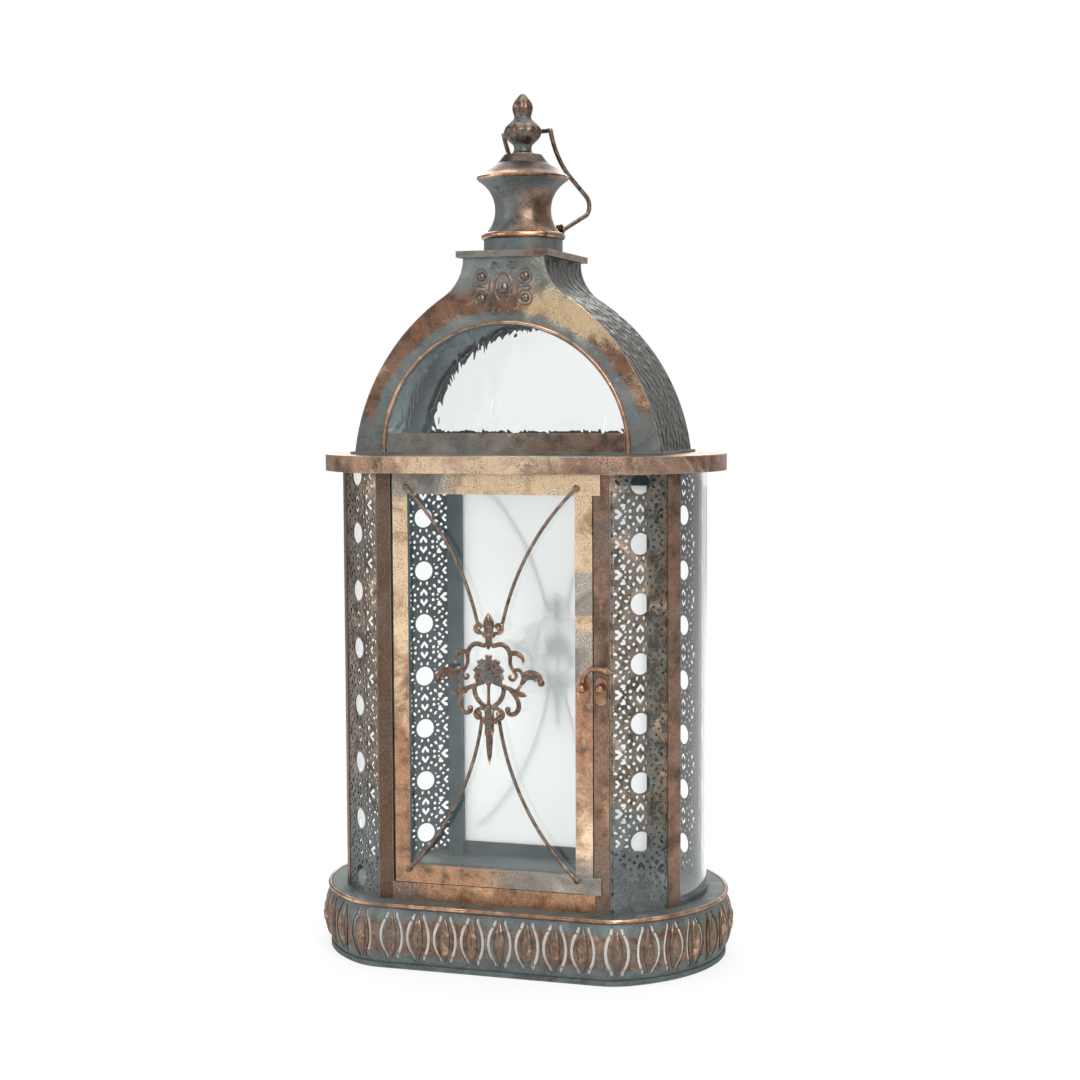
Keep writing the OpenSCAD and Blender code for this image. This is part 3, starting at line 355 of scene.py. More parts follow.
def roofPatina(web, place):  # most beside the window's bead, at the roof's feet and under the collar
    x, y, z = web.split(place)
    rise = z - roofSize["baseZ"]
    reach = web.math("SQRT", web.math("POWER", x, 2.0) + web.math("POWER", rise, 2.0))
    beside = web.step(reach, roofSize["windowR"] + 2 * mm, roofSize["windowR"] + 16 * mm, 0.85, 0.0)
    foot = web.step(rise, 0.004, 0.045, 0.75, 0.0)
    head = web.step(rise, 0.115, 0.16, 0.0, 0.62)
    return 0.22 + web.most(beside, foot, head)


roofRubAndHighlight = product(  # painted highlight with some wear: bright on the right of the neck and higher up, little on the left
    ramp("X", -0.03, 0.05, 0.3, 0.72), ramp("Z", 0.47, 0.56, 0.45, 1.0))
capCover = joined(  # patina on the flange, waist and flare, bare copper on the brim and the bead
    "MAXIMUM", ramp("Z", 0.6245, 0.6265, 0.95, 0.0),
    product(ramp("Z", 0.629, 0.632), ramp("Z", 0.675, 0.677, 1.0, 0.0), ramp("X", -0.012, 0.02, 0.72, 0.22)),
    product(ramp("Z", 0.664, 0.672), ramp("Z", 0.6755, 0.677, 0.9, 0.0)),
    ramp("Z", 0.682, 0.686, 0.0, 0.2), ramp("Z", 0.699, 0.703, 0.0, 0.72))
capRub = joined(  # the bead and the brim
    "MAXIMUM", product(ramp("Z", 0.624, 0.626), ramp("Z", 0.63, 0.633, 0.5, 0.0)),
    product(ramp("Z", 0.676, 0.6775), ramp("Z", 0.681, 0.684, 0.42, 0.0)), extra=0.12)
capGround = between(ramp("Z", 0.681, 0.685), (134, 104, 86), (44, 36, 32))  # the cone is darker
doorPatina = joined(  # grey at the door's ends and in two patches on the latch stile
    "MAXIMUM", product(ramp("Z", 0.395, 0.412, 0.0, 0.7), ramp("X", -0.06, 0.02, 1.0, 0.15)),
    product(ramp("Z", 0.085, 0.14, 0.55, 0.0), ramp("X", -0.02, 0.07, 0.3, 1.0)),
    product(ramp("Z", 0.016, 0.019, 0.95, 0.0, about=0.325), ramp("X", 0.06, 0.07)),
    product(ramp("Z", 0.016, 0.03, 0.6, 0.0, about=0.27), ramp("X", 0.06, 0.07)), extra=0.12)
doorRubAndHighlight = joined(  # wear and a painted highlight: brightest in the upper half, on the head rail and down the latch stile
    "MAXIMUM", ramp("Z", 0.16, 0.34, 0.3, 0.74), ramp("X", 0.05, 0.06, 0.3, 0.56))
eaveRubAndHighlight = ramp("X", 0.04, 0.12, 0.8, 0.3, about=-0.01)  # wear and a painted highlight: brightest in the middle of the plate's front
postGroundShadedLeft = between(ramp("X", -0.1, 0.04), (100, 74, 58), (152, 120, 100))  # painted shade: the left side is darker
railCover = ramp("X", -0.05, 0.07, 0.68, 0.3)  # blue-grey at the left, brown at the right
sillCover = ramp("X", -0.08, -0.02, 0.55, 0.14)
bandCover = ramp("Z", 0.012, 0.019, 0.36, 0.9, about=0.0288)  # blue-grey along the band's edges
panelCover = ramp("Z", 0.08, 0.17, 0.85, 0.34)  # blue-grey at the panels' feet
castRubAndHighlight = raised(0.5, 0.56, 0.1, 0.9)  # high points are painted bright, both wear and a painted highlight, and hollows keep their patina
castCover = raised(0.44, 0.53, 1.0, 0.22)
# bright high points of the bosses: wear and a painted highlight
bossRubAndHighlight = raised(0.5, 0.62, 0.12, 0.6)


def ornamentCover(web, place):  # the palmette in the middle kept its slate
    flat = web.vector("MULTIPLY", place, (1.0, 0.0, 1.0))
    away = web.vector("DISTANCE", flat, (0.0, 0.0, ornamentSize["palmetteZ"]), out="Value")
    return web.most(castCover(web, place), web.step(away, 0.012, 0.02, 0.62, 0.0))


def hammerDents(web, place):  # round dents of a hammer, about 7 mm across
    cells = web.add("ShaderNodeTexVoronoi", {"Vector": place, "Scale": 135.0, "Randomness": 0.9}, "Distance",
                    feature="SMOOTH_F1")
    return web.add("ShaderNodeBump", {
        "Height": web.math("POWER", cells, 1.6), "Strength": 1.0, "Distance": 6 * mm})


metals = {  # ground, dark, patina and bright colours, the bright one standing for wear and painted highlight, then the other values of the skin
    "copperPost": (postGroundShadedLeft, (88, 68, 58), (98, 92, 86), (206, 162, 132), {
        "Patina Share": 0.36, "Rub Share": 0.22, "Speckle": 0.9, "Rough": 0.42, "Blotch Scale": 9.0}),
    "copperDoor": ((196, 148, 114), (104, 82, 68), (140, 148, 146), (252, 222, 184), {
        "Patina Share": doorPatina, "Rub Share": doorRubAndHighlight, "Speckle": 1.0, "Blotch Scale": 12.0,
        "Rough": 0.36, "Edge Share": 0.4}),
    "sillCopper": ((196, 148, 112), (112, 82, 66), (104, 112, 110), (246, 204, 162), {
        "Patina Share": sillCover, "Rub Share": 0.36, "Speckle": 1.0, "Blotch Scale": 12.0,
        "Edge Share": 0.4}),
    "railMetal": ((136, 112, 96), (88, 76, 68), (112, 120, 120), (206, 182, 158), {
        "Patina Share": railCover, "Rub Share": 0.26, "Speckle": 0.8, "Rough": 0.36}),
    "darkPanel": ((132, 120, 106), (64, 62, 58), (92, 108, 112), (206, 176, 150), {
        "Patina Share": panelCover, "Rub Share": 0.4, "Edge Share": 0.3, "Rough": 0.4, "Speckle": 0.7}),
    # the roof's inner faces are painted pale: painted light
    "roofCopper": ((146, 104, 80), (88, 74, 66), (94, 118, 123), (255, 224, 180), {
        "Patina Share": roofPatina, "Rub Share": roofRubAndHighlight, "Speckle": 0.8, "Blotch Scale": 13.0,
        "Rough": 0.3, "Inside": (208, 224, 228)}),
    "eaveCopper": ((182, 142, 116), (98, 80, 70), (112, 110, 104), (255, 224, 190), {
        "Patina Share": 0.26, "Rub Share": eaveRubAndHighlight, "Speckle": 1.0, "Blotch Scale": 8.0, "Rough": 0.34}),
    # the roof sides' inner faces are painted pale: painted light
    "hammered": ((74, 72, 66), (36, 38, 36), (60, 68, 67), (168, 152, 130), {
        "Patina Share": 0.5, "Rub Share": 0.22, "Edge Share": 0.8, "Speckle": 0.9, "Blotch Scale": 40.0,
        "Rough": 0.36, "Inside": (208, 224, 228)}, 0.2, hammerDents),
    "capPatina": (capGround, (72, 62, 56), (88, 110, 114), (206, 160, 130), {
        "Patina Share": capCover, "Rub Share": capRub, "Speckle": 0.7, "Blotch Scale": 18.0, "Rough": 0.3}),
    "finialMetal": ((116, 90, 76), (62, 56, 50), (84, 102, 104), (178, 142, 116), {
        "Patina Share": castCover, "Rub Share": castRubAndHighlight, "Blotch Scale": 50.0, "Rough": 0.3}),
    "rimPatina": ((104, 108, 104), (62, 68, 66), (98, 116, 117), (166, 140, 118), {
        "Patina Share": 0.7, "Rub Share": 0.18, "Edge Share": 0.5, "Speckle": 0.8}),
    "bandCopper": ((136, 110, 92), (78, 68, 60), (100, 122, 126), (208, 168, 138), {
        "Patina Share": bandCover, "Rub Share": 0.24, "Edge Share": 0.35, "Blotch Scale": 30.0,
        "Speckle": 0.9}),
    "brightBead": ((172, 130, 102), (104, 82, 68), (100, 96, 90), (244, 204, 164), {
        "Patina Share": 0.3, "Rub Share": 0.4, "Edge Share": 0.3, "Speckle": 0.7, "Rough": 0.28}),
    "wireBronze": ((132, 112, 98), (62, 56, 52), (90, 92, 90), (204, 168, 140), {
        "Patina Share": 0.3, "Blotch Scale": 40.0}),
    "castCopper": ((128, 94, 76), (62, 54, 48), (92, 104, 104), (232, 184, 144), {
        "Patina Share": ornamentCover, "Rub Share": castRubAndHighlight, "Edge Share": 0.3, "Blotch Scale": 60.0,
        "Rough": 0.27}),
    "bossCopper": ((124, 104, 90), (76, 70, 64), (96, 110, 111), (224, 190, 160), {
        "Patina Share": castCover, "Rub Share": bossRubAndHighlight, "Blotch Scale": 70.0, "Speckle": 0.5,
        "Rough": 0.27, "Edge Share": 0.2}),
    "almondCopper": ((128, 104, 88), (82, 72, 64), (96, 102, 98), (220, 172, 136), {
        "Patina Share": 0.36, "Rub Share": 0.36, "Edge Share": 0.5, "Blotch Scale": 50.0, "Rough": 0.3,
        "Speckle": 0.6}),
    "dullSteel": ((150, 150, 148), (100, 100, 100), (128, 130, 130), (205, 205, 202), {"Patina Share": 0.3}),
    "linerWhite": ((236, 231, 226), (220, 213, 206), (230, 226, 222), (242, 239, 235), {
        "Patina Share": 0.3, "Speckle": 0.1}),
}
finishes = {name: agedMetal(name, *values) for name, values in metals.items()}
liner = finishes["linerWhite"].node_tree  # a sheet that isn't metal
liner.links.remove(liner.nodes["Principled BSDF"].inputs["Metallic"].links[0])
liner.nodes["Principled BSDF"].inputs["Metallic"].default_value = 0.0
finishes["clearPane"] = paneGlass("clearPane", lin(250, 253, 252))
finishes["wavyPane"] = paneGlass("wavyPane", lin(247, 249, 249), {
    "strength": 0.75, "scale": 60.0, "depth": 2 * mm})
finishes["hazyPane"] = hazyGlass("hazyPane", 0.66)

finishOf = {  # the solids that wear each finish, by name or by how their names start
    "rimPatina": ("foot_rim", "base_top", "eave_soffit", "roof_flange", "glass_track_"),
    "bandCopper": ("base_band",), "linerWhite": ("base_liner",), "sillCopper": ("front_sill",),
    "brightBead": ("ledge_bead", "latch_plate", "latch_hook", "latch_stud", "window_bead_"),
    "copperPost": ("rear_bottom_rail", "rear_top_rail", "post_", "side_post_"),
    "copperDoor": ("door_frame",), "darkPanel": ("panel_",), "hammered": ("roof_side_",),
    "wireBronze": ("rear_arcs", "door_arcs", "bail"), "castCopper": ("rear_ornament", "door_ornament"),
    "dullSteel": ("door_glass_clips", "door_pivots", "finial_screw"), "eaveCopper": ("eave_plate",),
    "railMetal": ("collar_plate", "window_rail_"), "capPatina": ("chimney", "cap", "finial", "bail_ears"),
    "roofCopper": ("roof_bosses", "roof_front", "roof_rear"), "clearPane": ("door_glass", "side_glass_"),
    "wavyPane": ("roof_glass_",), "hazyPane": ("rear_glass",),
}
for name, thing in cad.items():
    finish = next(f for f, nodes in finishOf.items()
                  if name in nodes or name.startswith(tuple(n for n in nodes if n.endswith("_"))))
    thing.data.materials.clear()
    thing.data.materials.append(finishes[finish])
print("finishes are on the frame")


# pierced panels

plan = {  # the wall's outline, from the frame's drawing
    "endR": 108 * mm, "endC": 55 * mm, "blendR": 30 * mm, "halfDepth": 95.5 * mm,
    "floorZ": 56 * mm, "eaveZ": 424.4 * mm, "panelFrom": 34.1515, "postOut": 103.003 * mm,
}
plan["blendX"] = plan["endC"] + math.sqrt((plan["endR"] - plan["blendR"]) ** 2
                                          - (plan["halfDepth"] - plan["blendR"]) ** 2)
plan["wedge"] = math.atan2(plan["halfDepth"] - plan["blendR"], plan["blendX"] - plan["endC"])

pattern = {  # one repeat, in millimetres from its round hole: (u, v, length, width, turn in degrees)
    "pitch": 50.0, "holeR": 9.0,
    "drops": [(3.2, 12.0, 4.2, 2.5, 80), (10.8, 14.5, 4.6, 2.8, 50), (12.9, 2.9, 4.4, 2.7, 15)],
    "dots": [(6.1, 16.8, 1.5), (9.2, 22.4, 1.6), (10.4, 6.2, 0.9), (17.8, 6.0, 1.4), (18.6, 13.4, 1.3),
             (24.3, 12.0, 0.9), (24.3, 14.6, 0.9), (13.6, 22.7, 1.1)],
    "hearts": [(15.2, 18.4, 5.4, 5.6, 35)],
    "bows": [(15.2, 10.5, 3.8, 3.2, 60), (22.4, 9.0, 3.4, 3.0, 20)],
    "edges": [(25.2, 7.4, 3.8, 2.6, 90), (25.3, 18.8, 6.0, 1.9, 90)],
    # V shapes: (u), v, spread, depth, arm
    "upperVee": (16.4, 7.8, 7.0, 2.3), "sideVees": [(18.0, 0, 7.0, 4.6, 2.1), (15.6, 25.0, 8.4, 7.2, 2.5)],
}


def turned(points, u, v, degrees):
    c, s = math.cos(math.radians(degrees)), math.sin(math.radians(degrees))
    return [(u + x * c - y * s, v + x * s + y * c) for x, y in points]


def dotLoop(u, v, r, sides=8):
    return [(u + r * math.cos(2 * math.pi * i / sides), v + r * math.sin(2 * math.pi * i / sides))
            for i in range(sides)]


shapes = {  # openings of unit length and width
    "drops": [(-0.32, -0.42), (-0.02, -0.5), (0.22, -0.32), (0.5, 0), (0.22, 0.32), (-0.02, 0.5),
              (-0.32, 0.42), (-0.5, 0)],
    "hearts": [(-0.5, 0), (-0.05, -0.42), (0.22, -0.5), (0.44, -0.32), (0.42, -0.12), (0.22, 0),
               (0.42, 0.12), (0.44, 0.32), (0.22, 0.5), (-0.05, 0.42)],
    "bows": [(-0.5, -0.2), (0.3, -0.5), (0.5, 0), (0.3, 0.5), (-0.5, 0.2)],
}
shapes["edges"] = shapes["bows"]


def veeLoop(u, v, spread, depth, arm, turn):  # a pointed V with its point at u, v
    shape = [(0, 0), (depth * 0.62, spread / 2), (depth, spread / 2 - 0.2), (depth * 0.97, spread / 2 - arm),
             (depth * 0.52, 0), (depth * 0.97, arm - spread / 2), (depth, 0.2 - spread / 2),
             (depth * 0.62, -spread / 2)]
    return turned(shape, u, v, turn)


def repeatLoops():
    loops = [dotLoop(0, 0, pattern["holeR"], 28)]
    for up in (1, -1):
        v, *size = pattern["upperVee"]
        loops.append(veeLoop(0, up * v, *size, up * 90))
    for side in (1, -1):
        for u, v, *size in pattern["sideVees"]:
            loops.append(veeLoop(side * u, v, *size, 0 if side == 1 else 180))
        for up in (1, -1):
            for kind in ("drops", "dots", "hearts", "bows", "edges"):
                for u, v, *size in pattern[kind]:
                    if kind == "dots":
                        loops.append(dotLoop(side * u, up * v, size[0], 8 if size[0] > 1 else 6))
                        continue
                    length, width, turn = size
                    turn = turn * up if side == 1 else 180 - turn * up
                    loops.append(turned([(x * length, y * width) for x, y in shapes[kind]],
                                        side * u, up * v, turn))
    return loops


def buildPiercedTree():
    web, given, out = newGroup("piercedPanel", "GeometryNodeTree", {
        "Geometry": "Geometry", "Width": 0.0548, "Height": 0.3684, "Pitch": 0.05, "First Hole": 0.0103,
        "Margin": 0.0012, "Thickness": 0.0012, "Start Angle": 0.596, "Joint Angle": 0.9967,
        "End Radius": 0.108, "End Centre X": 0.055, "Blend Radius": 0.03, "Blend X": 0.0974,
        "Blend Y": -0.0655, "Floor": 0.056, "Side X": 1.0, "Side Y": 1.0, "Finish": "Material",
    }, {"Geometry": "Geometry"})
    repeats = web.add("GeometryNodeMeshLine", {
        "Count": 10, "Start Location": web.join(y=given["First Hole"] - given["Pitch"]),
        "Offset": web.join(y=given["Pitch"])}, mode="OFFSET")
    placed = web.add("GeometryNodeInstanceOnPoints", {"Points": repeats, "Instance": given["Geometry"]})
    real = web.add("GeometryNodeRealizeInstances", {"Geometry": placed})
    loops = web.add("GeometryNodeMeshToCurve", {"Mesh": real})
    # openings past the panel's ends go; the ones that cross an end are cut off square there
    x, y, z = web.split(web.add("GeometryNodeInputPosition"))
    large = web.math("GREATER_THAN", web.add("GeometryNodeSplineLength", out="Length"), 0.03)
    reach = web.add("GeometryNodeSwitch", {"Switch": large, "False": -0.0003, "True": 0.004},
                    input_type="FLOAT")
    low = given["Margin"]
    high = given["Height"] - low
    past = web.math("ADD", web.math("LESS_THAN", y, low - reach),
                    web.math("GREATER_THAN", y, high + reach), clamp=True)
    kept = web.add("GeometryNodeDeleteGeometry", {"Geometry": loops, "Selection": past}, domain="CURVE")
    half = given["Width"] * 0.5 - low
    across = web.most(web.math("MINIMUM", x, half), half * -1.0)
    along = web.most(web.math("MINIMUM", y, high), low)
    cut = web.add("GeometryNodeSetPosition", {"Geometry": kept, "Position": web.join(across, along)})
    outline = web.add("GeometryNodeCurvePrimitiveQuadrilateral", {
        "Width": given["Width"], "Height": given["Height"]})
    outline = web.add("GeometryNodeSubdivideCurve", {"Curve": outline, "Cuts": 36})
    outline = web.add("GeometryNodeTransform", {
        "Geometry": outline, "Translation": web.join(y=given["Height"] * 0.5)})
    flat = web.add("GeometryNodeFillCurve", {"Curve": web.gather(outline, cut)}, mode="TRIANGLES")
    thick = web.add("GeometryNodeExtrudeMesh", {
        "Mesh": flat, "Offset Scale": given["Thickness"], "Individual": False, "Offset": (0.0, 0.0, 1.0)})
    closed = web.gather(thick, web.add("GeometryNodeFlipFaces", {"Mesh": flat}))
    sheet = web.add("GeometryNodeMergeByDistance", {"Geometry": closed, "Distance": 0.00002})
    # bend the flat sheet round the wall: the end's large radius, then the small one beside the post
    x, y, z = web.split(web.add("GeometryNodeInputPosition"))
    run = x + given["Width"] * 0.5
    largeRun = (given["Joint Angle"] - given["Start Angle"]) * given["End Radius"]
    past = web.most(run - largeRun, 0.0)
    angle = given["Start Angle"] + web.math("MINIMUM", run, largeRun) / given["End Radius"]
    angle = angle + past / given["Blend Radius"]
    onBlend = web.math("GREATER_THAN", past, 0.0)

    def either(large, small):
        return large * (1.0 - onBlend) + small * onBlend
    radius = either(given["End Radius"], given["Blend Radius"]) - z
    bentX = either(given["End Centre X"], given["Blend X"]) + radius * web.math("COSINE", angle)
    bentY = either(0.0, given["Blend Y"]) - radius * web.math("SINE", angle)
    bent = web.add("GeometryNodeSetPosition", {"Geometry": sheet, "Position": web.join(
        bentX * given["Side X"], bentY * given["Side Y"], y + given["Floor"])})
    done = web.add("GeometryNodeRealizeInstances", {"Geometry": bent})
    web.put(out[0], web.add("GeometryNodeSetMaterial", {"Geometry": done, "Material": given["Finish"]}))
    return web.tree


panels = {  # node: (side in X, side in Y, height of the first round hole above the floor)
    "panel_front_right": (1.0, 1.0, 10.3 * mm), "panel_front_left": (-1.0, 1.0, 15.5 * mm),
    "panel_rear_left": (-1.0, -1.0, 18.7 * mm), "panel_rear_right": (1.0, -1.0, 24.8 * mm),
}


def makePanels():
    tree = buildPiercedTree()
    start = math.radians(plan["panelFrom"])
    largeRun = (plan["wedge"] - start) * plan["endR"]
    inner = plan["blendR"] - 1.2 * mm
    blendTurn = math.pi / 2 - plan["wedge"] - math.asin((plan["postOut"] - plan["blendX"]) / inner)
    width = largeRun + blendTurn * plan["blendR"]
    loops = repeatLoops()
    points, edges = [], []
    for loop in loops:
        first = len(points)
        points += [(u * mm, v * mm, 0) for u, v in loop]
        edges += [(first + i, first + (i + 1) % len(loop)) for i in range(len(loop))]
    for node, (sideX, sideY, firstHole) in panels.items():
        panel = meshObject("pierced" + node.title().replace("_", ""), points, [], edges)
        throughTree(panel, tree, {
            "Width": width, "Height": plan["eaveZ"] - plan["floorZ"], "Pitch": pattern["pitch"] * mm,
            "First Hole": firstHole, "Start Angle": start, "Joint Angle": plan["wedge"],
            "Side X": sideX, "Side Y": sideY, "Blend X": plan["blendX"],
            "Blend Y": plan["blendR"] - plan["halfDepth"], "Finish": finishes["darkPanel"],
        })
        outwards(panel)
        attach(panel, "lantern")
        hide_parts(node)
    print("pierced panels:", len(loops), "openings a repeat,", len(panel.data.polygons), "faces a panel")


# cast pieces: strokes and balls flattened, then fused by a voxel remesh

def strokeMesh(strokes, flat):  # each stroke is a list of (x, z, radius) in millimetres
    curve = bpy.data.curves.new("strokes", "CURVE")
    curve.dimensions = "3D"
    curve.bevel_depth = mm
    curve.bevel_resolution = 3
    curve.resolution_u = 7
    curve.use_fill_caps = True
    for stroke in strokes:
        spline = curve.splines.new("BEZIER")
        spline.bezier_points.add(len(stroke) - 1)
        for knot, (x, z, radius) in zip(spline.bezier_points, stroke):
            knot.co = (x * mm, 0, z * mm)
            knot.radius = radius
            knot.handle_left_type = knot.handle_right_type = "AUTO"
    holder = bpy.data.objects.new("strokes", curve)
    scene.collection.objects.link(holder)
    mesh = newMeshOf(holder)
    bpy.data.objects.remove(holder)
    mesh.transform(Matrix.Diagonal((1, flat, 1, 1)))
    return mesh


def bothSides(strokes):
    return strokes + [[(-x, z, radius) for x, z, radius in stroke] for stroke in strokes]


def castPiece(name, layers, balls, grain):  # layers: (strokes, how flat, how far forward in millimetres)
    work = bmesh.new()
    for strokes, flat, forward in layers:
        mesh = strokeMesh(strokes, flat)
        mesh.transform(Matrix.Translation((0, -forward * mm, 0)))
        work.from_mesh(mesh)
        bpy.data.meshes.remove(mesh)
    for x, z, radius, forward in balls:
        bmesh.ops.create_icosphere(work, subdivisions=3, radius=radius * mm,
                                   matrix=Matrix.Translation((x * mm, -forward * mm, z * mm)))
    thing = meshObject(name, [], [])
    work.to_mesh(thing.data)
    work.free()
    remesh = thing.modifiers.new("fuse", "REMESH")
    remesh.mode = "VOXEL"
    remesh.voxel_size = grain * mm
    soften = thing.modifiers.new("soften", "SMOOTH")
    soften.iterations = 2
    applyModifiers(thing)
    outwards(thing)
    thing.data.shade_smooth()
    return thing


def fan(angles, lengths, x, z, base, tip):  # lobes that spread from one point
    return [[(x, z, base), (x + 0.6 * length * math.sin(math.radians(angle)),
                            z + 0.6 * length * math.cos(math.radians(angle)), 0.75 * tip),
             (x + length * math.sin(math.radians(angle)), z + length * math.cos(math.radians(angle)), tip)]
            for angle, length in zip(angles, lengths)]


ornament = {  # millimetres from the ornament's centre; the right half is mirrored
    "centreZ": 243.7, "frontY": -101.0,
    "scrolls": [
        [(3.4, 43, 1.7), (5.6, 46.6, 1.6), (9.6, 47, 1.7), (12.2, 50.6, 1.7), (10.2, 54.4, 1.5),
         (6.8, 53.8, 1.3), (7.2, 50.8, 1.3)],
        [(2.5, 35.5, 1.6), (6, 36.6, 2.1), (11, 37.6, 2.2), (16, 35, 2.1), (18.7, 29, 1.9), (19, 21, 1.7),
         (21.8, 15.4, 1.6), (24.2, 11.4, 1.6), (21.4, 7.8, 1.5), (18.2, 9.6, 1.4), (19.8, 12.4, 1.3)],
        [(17.6, 29, 1.9), (21.6, 30.6, 2.3), (26.6, 29.4, 2.3), (30.4, 24.6, 1.4), (29.4, 20.6, 0.8)],
        [(22, 16, 1.5), (26.4, 16.6, 1.7), (29.6, 12.4, 1.6), (29.4, 7, 1.6), (26.4, 1.4, 1.5),
         (23, -1.8, 1.4)],
        [(29.4, 9.4, 1.7), (32.4, 13.6, 2.2), (38.4, 14.6, 2.4), (43.6, 12.2, 2.2), (46, 7.6, 2.0)],
        [(29.8, 5, 1.5), (33.4, 9.4, 1.7), (38.6, 10, 1.7), (42, 7.4, 1.5)],
        [(4.5, 4.8, 1.5), (10, 3.2, 1.7), (16, 1, 1.9), (22, -1.4, 2.1), (27, -3.6, 2.5), (30.4, -4.4, 2.2),
         (33.4, -5, 0.8)],
        [(18, -0.4, 1.4), (22.4, -5, 1.7), (25.8, -11, 2.1), (25.6, -17, 2.2), (21.4, -21, 2.1),
         (16.8, -20.2, 1.8), (15.8, -16.6, 1.6)],
        [(12.4, 4, 2.0), (12.9, -2.4, 2.1), (10.6, -8.6, 2.1), (6, -13.6, 2.0), (0, -16.8, 2.1)],
        [(3, -17, 1.9), (8.2, -17.2, 1.6), (12.3, -20.8, 1.7), (10.8, -25.2, 1.7), (6.6, -25.4, 1.7),
         (5.2, -30, 1.9)],
    ],
    "leaves": [
        [(0, 36, 4.6), (0, 40, 3.4), (0, 46, 3.8), (0, 52, 5.0), (0, 56.4, 5.0), (0, 60.6, 3.2),
         (0, 65, 0.4)],
        [(0, -14, 3.6), (0, -20, 4.4), (0, -27, 4.6), (0, -37, 4.4)],
        [(0, 4.6, 7.4), (0, 10, 11.4), (0, 17, 10.4), (0, 24, 5.6)],
    ],
    "ridges": [
        [(0, 33, 1.2), (0, 36.6, 2.0), (0, 41.6, 1.5), (0, 46, 0.9)],
        [(0, 52, 1.6), (0, 57, 2.4), (0, 62, 0.8)],
        [(-3.0, -18, 1.1), (-2.4, -26, 1.1), (-2.6, -36.4, 1.1)],
        [(3.0, -18, 1.1), (2.4, -26, 1.1), (2.6, -36.4, 1.1)],
        [(-3.8, -37.6, 2.1), (0, -37.6, 2.4), (3.8, -37.6, 2.1)],
        [(0, 3, 1.6), (0, -6, 1.4), (0, -15, 1.8)],
    ],
    "spike": [[(0, -39, 3.2), (0, -46, 3.1), (0, -56, 2.3), (0, -65.2, 0.4)]],
    "lobes": [(-92, 11.6), (-70, 13.4), (-48, 16.4), (-24, 19.6), (0, 22.4), (24, 19.6), (48, 16.4),
              (70, 13.4), (92, 11.6)],
    "balls": [(46, 6.4, 3.1, 0.4), (16.6, -17.2, 2.5, 0.4), (8.3, -21.4, 2.2, 0.6), (8.4, 51, 1.8, 0.4)],
}


def makeOrnaments():
    angles, lengths = zip(*ornament["lobes"])
    lobes = fan(angles, lengths, 0, 6.4, 1.6, 3.3)
    balls = ornament["balls"] + [(-x, z, r, y) for x, z, r, y in ornament["balls"]] + [(0, 5.2, 2.8, 1.4)]
    thing = castPiece("doorOrnamentCast", [
        (bothSides(ornament["scrolls"]), 0.85, 0.0), (ornament["leaves"], 0.34, -0.2),
        (ornament["ridges"], 0.8, 1.2), (lobes, 0.6, 0.8), (ornament["spike"], 0.8, 0.0)], balls, 0.5)
    thing.data.materials.append(finishes["castCopper"])
    rear = bpy.data.objects.new("rearOrnamentCast", thing.data.copy())
    scene.collection.objects.link(rear)
    place = Matrix.Translation((0, ornament["frontY"] * mm, ornament["centreZ"] * mm))
    thing.data.transform(place)
    rear.data.transform(Matrix.Rotation(math.pi, 4, "Z") @ Matrix.Translation((0, 0.5 * mm, 0)) @ place)
    for piece, body, node in ((thing, "door", "door_ornament"), (rear, "lantern", "rear_ornament")):
        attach(piece, body)
        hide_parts(node)
    print("ornaments:", len(thing.data.polygons), "faces each")


wires = {  # millimetres: the arcs' own circle, where they end, and the depth they lie at
    "centreX": -233.5, "centreZ": 248.05, "radius": 228.0, "wire": 1.5, "low": 84.0, "high": 412.1,
    "stopAbove": 291.5, "stopBelow": 219.0, "faceY": -97.5, "eyeR": 3.0, "eyeHalf": 1.1, "steps": 10,
}


def makeWires():
    strokes, eyes = [], []
    for near, far in ((wires["stopAbove"], wires["high"]), (wires["stopBelow"], wires["low"])):
        first, last = (math.asin((z - wires["centreZ"]) / wires["radius"]) for z in (near, far))
        turns = [first + (last - first) * i / wires["steps"] for i in range(wires["steps"] + 1)]
        for side in (1, -1):
            strokes.append([(side * (wires["centreX"] + wires["radius"] * math.cos(turn)),
                             wires["centreZ"] + wires["radius"] * math.sin(turn), wires["wire"])
                            for turn in turns])
            eyes.append((strokes[-1][-1][0], strokes[-1][-1][1]))
    work = bmesh.new()
    work.from_mesh(strokeMesh(strokes, 1.0))
    for x, z in eyes:
        bmesh.ops.create_icosphere(work, subdivisions=3, radius=wires["eyeR"] * mm, matrix=Matrix.Translation(
            (x * mm, 0.4 * mm, z * mm)) @ Matrix.Diagonal((1, wires["eyeHalf"] / wires["eyeR"], 1, 1)))
    for name, body, node, turn in (("doorWires", "door", "door_arcs", 0),
                                   ("rearWires", "lantern", "rear_arcs", math.pi)):
        thing = meshObject(name, [], [])
        work.to_mesh(thing.data)
        back = 0.5 * mm if turn else 0.0
        thing.data.transform(Matrix.Rotation(turn, 4, "Z") @ Matrix.Translation(
            (0, wires["faceY"] * mm + back, 0)))
        outwards(thing, merge=0.000002)
        shadeSmooth(thing, 1.0)
        thing.data.materials.append(finishes["wireBronze"])
        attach(thing, body)
        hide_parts(node)
    work.free()


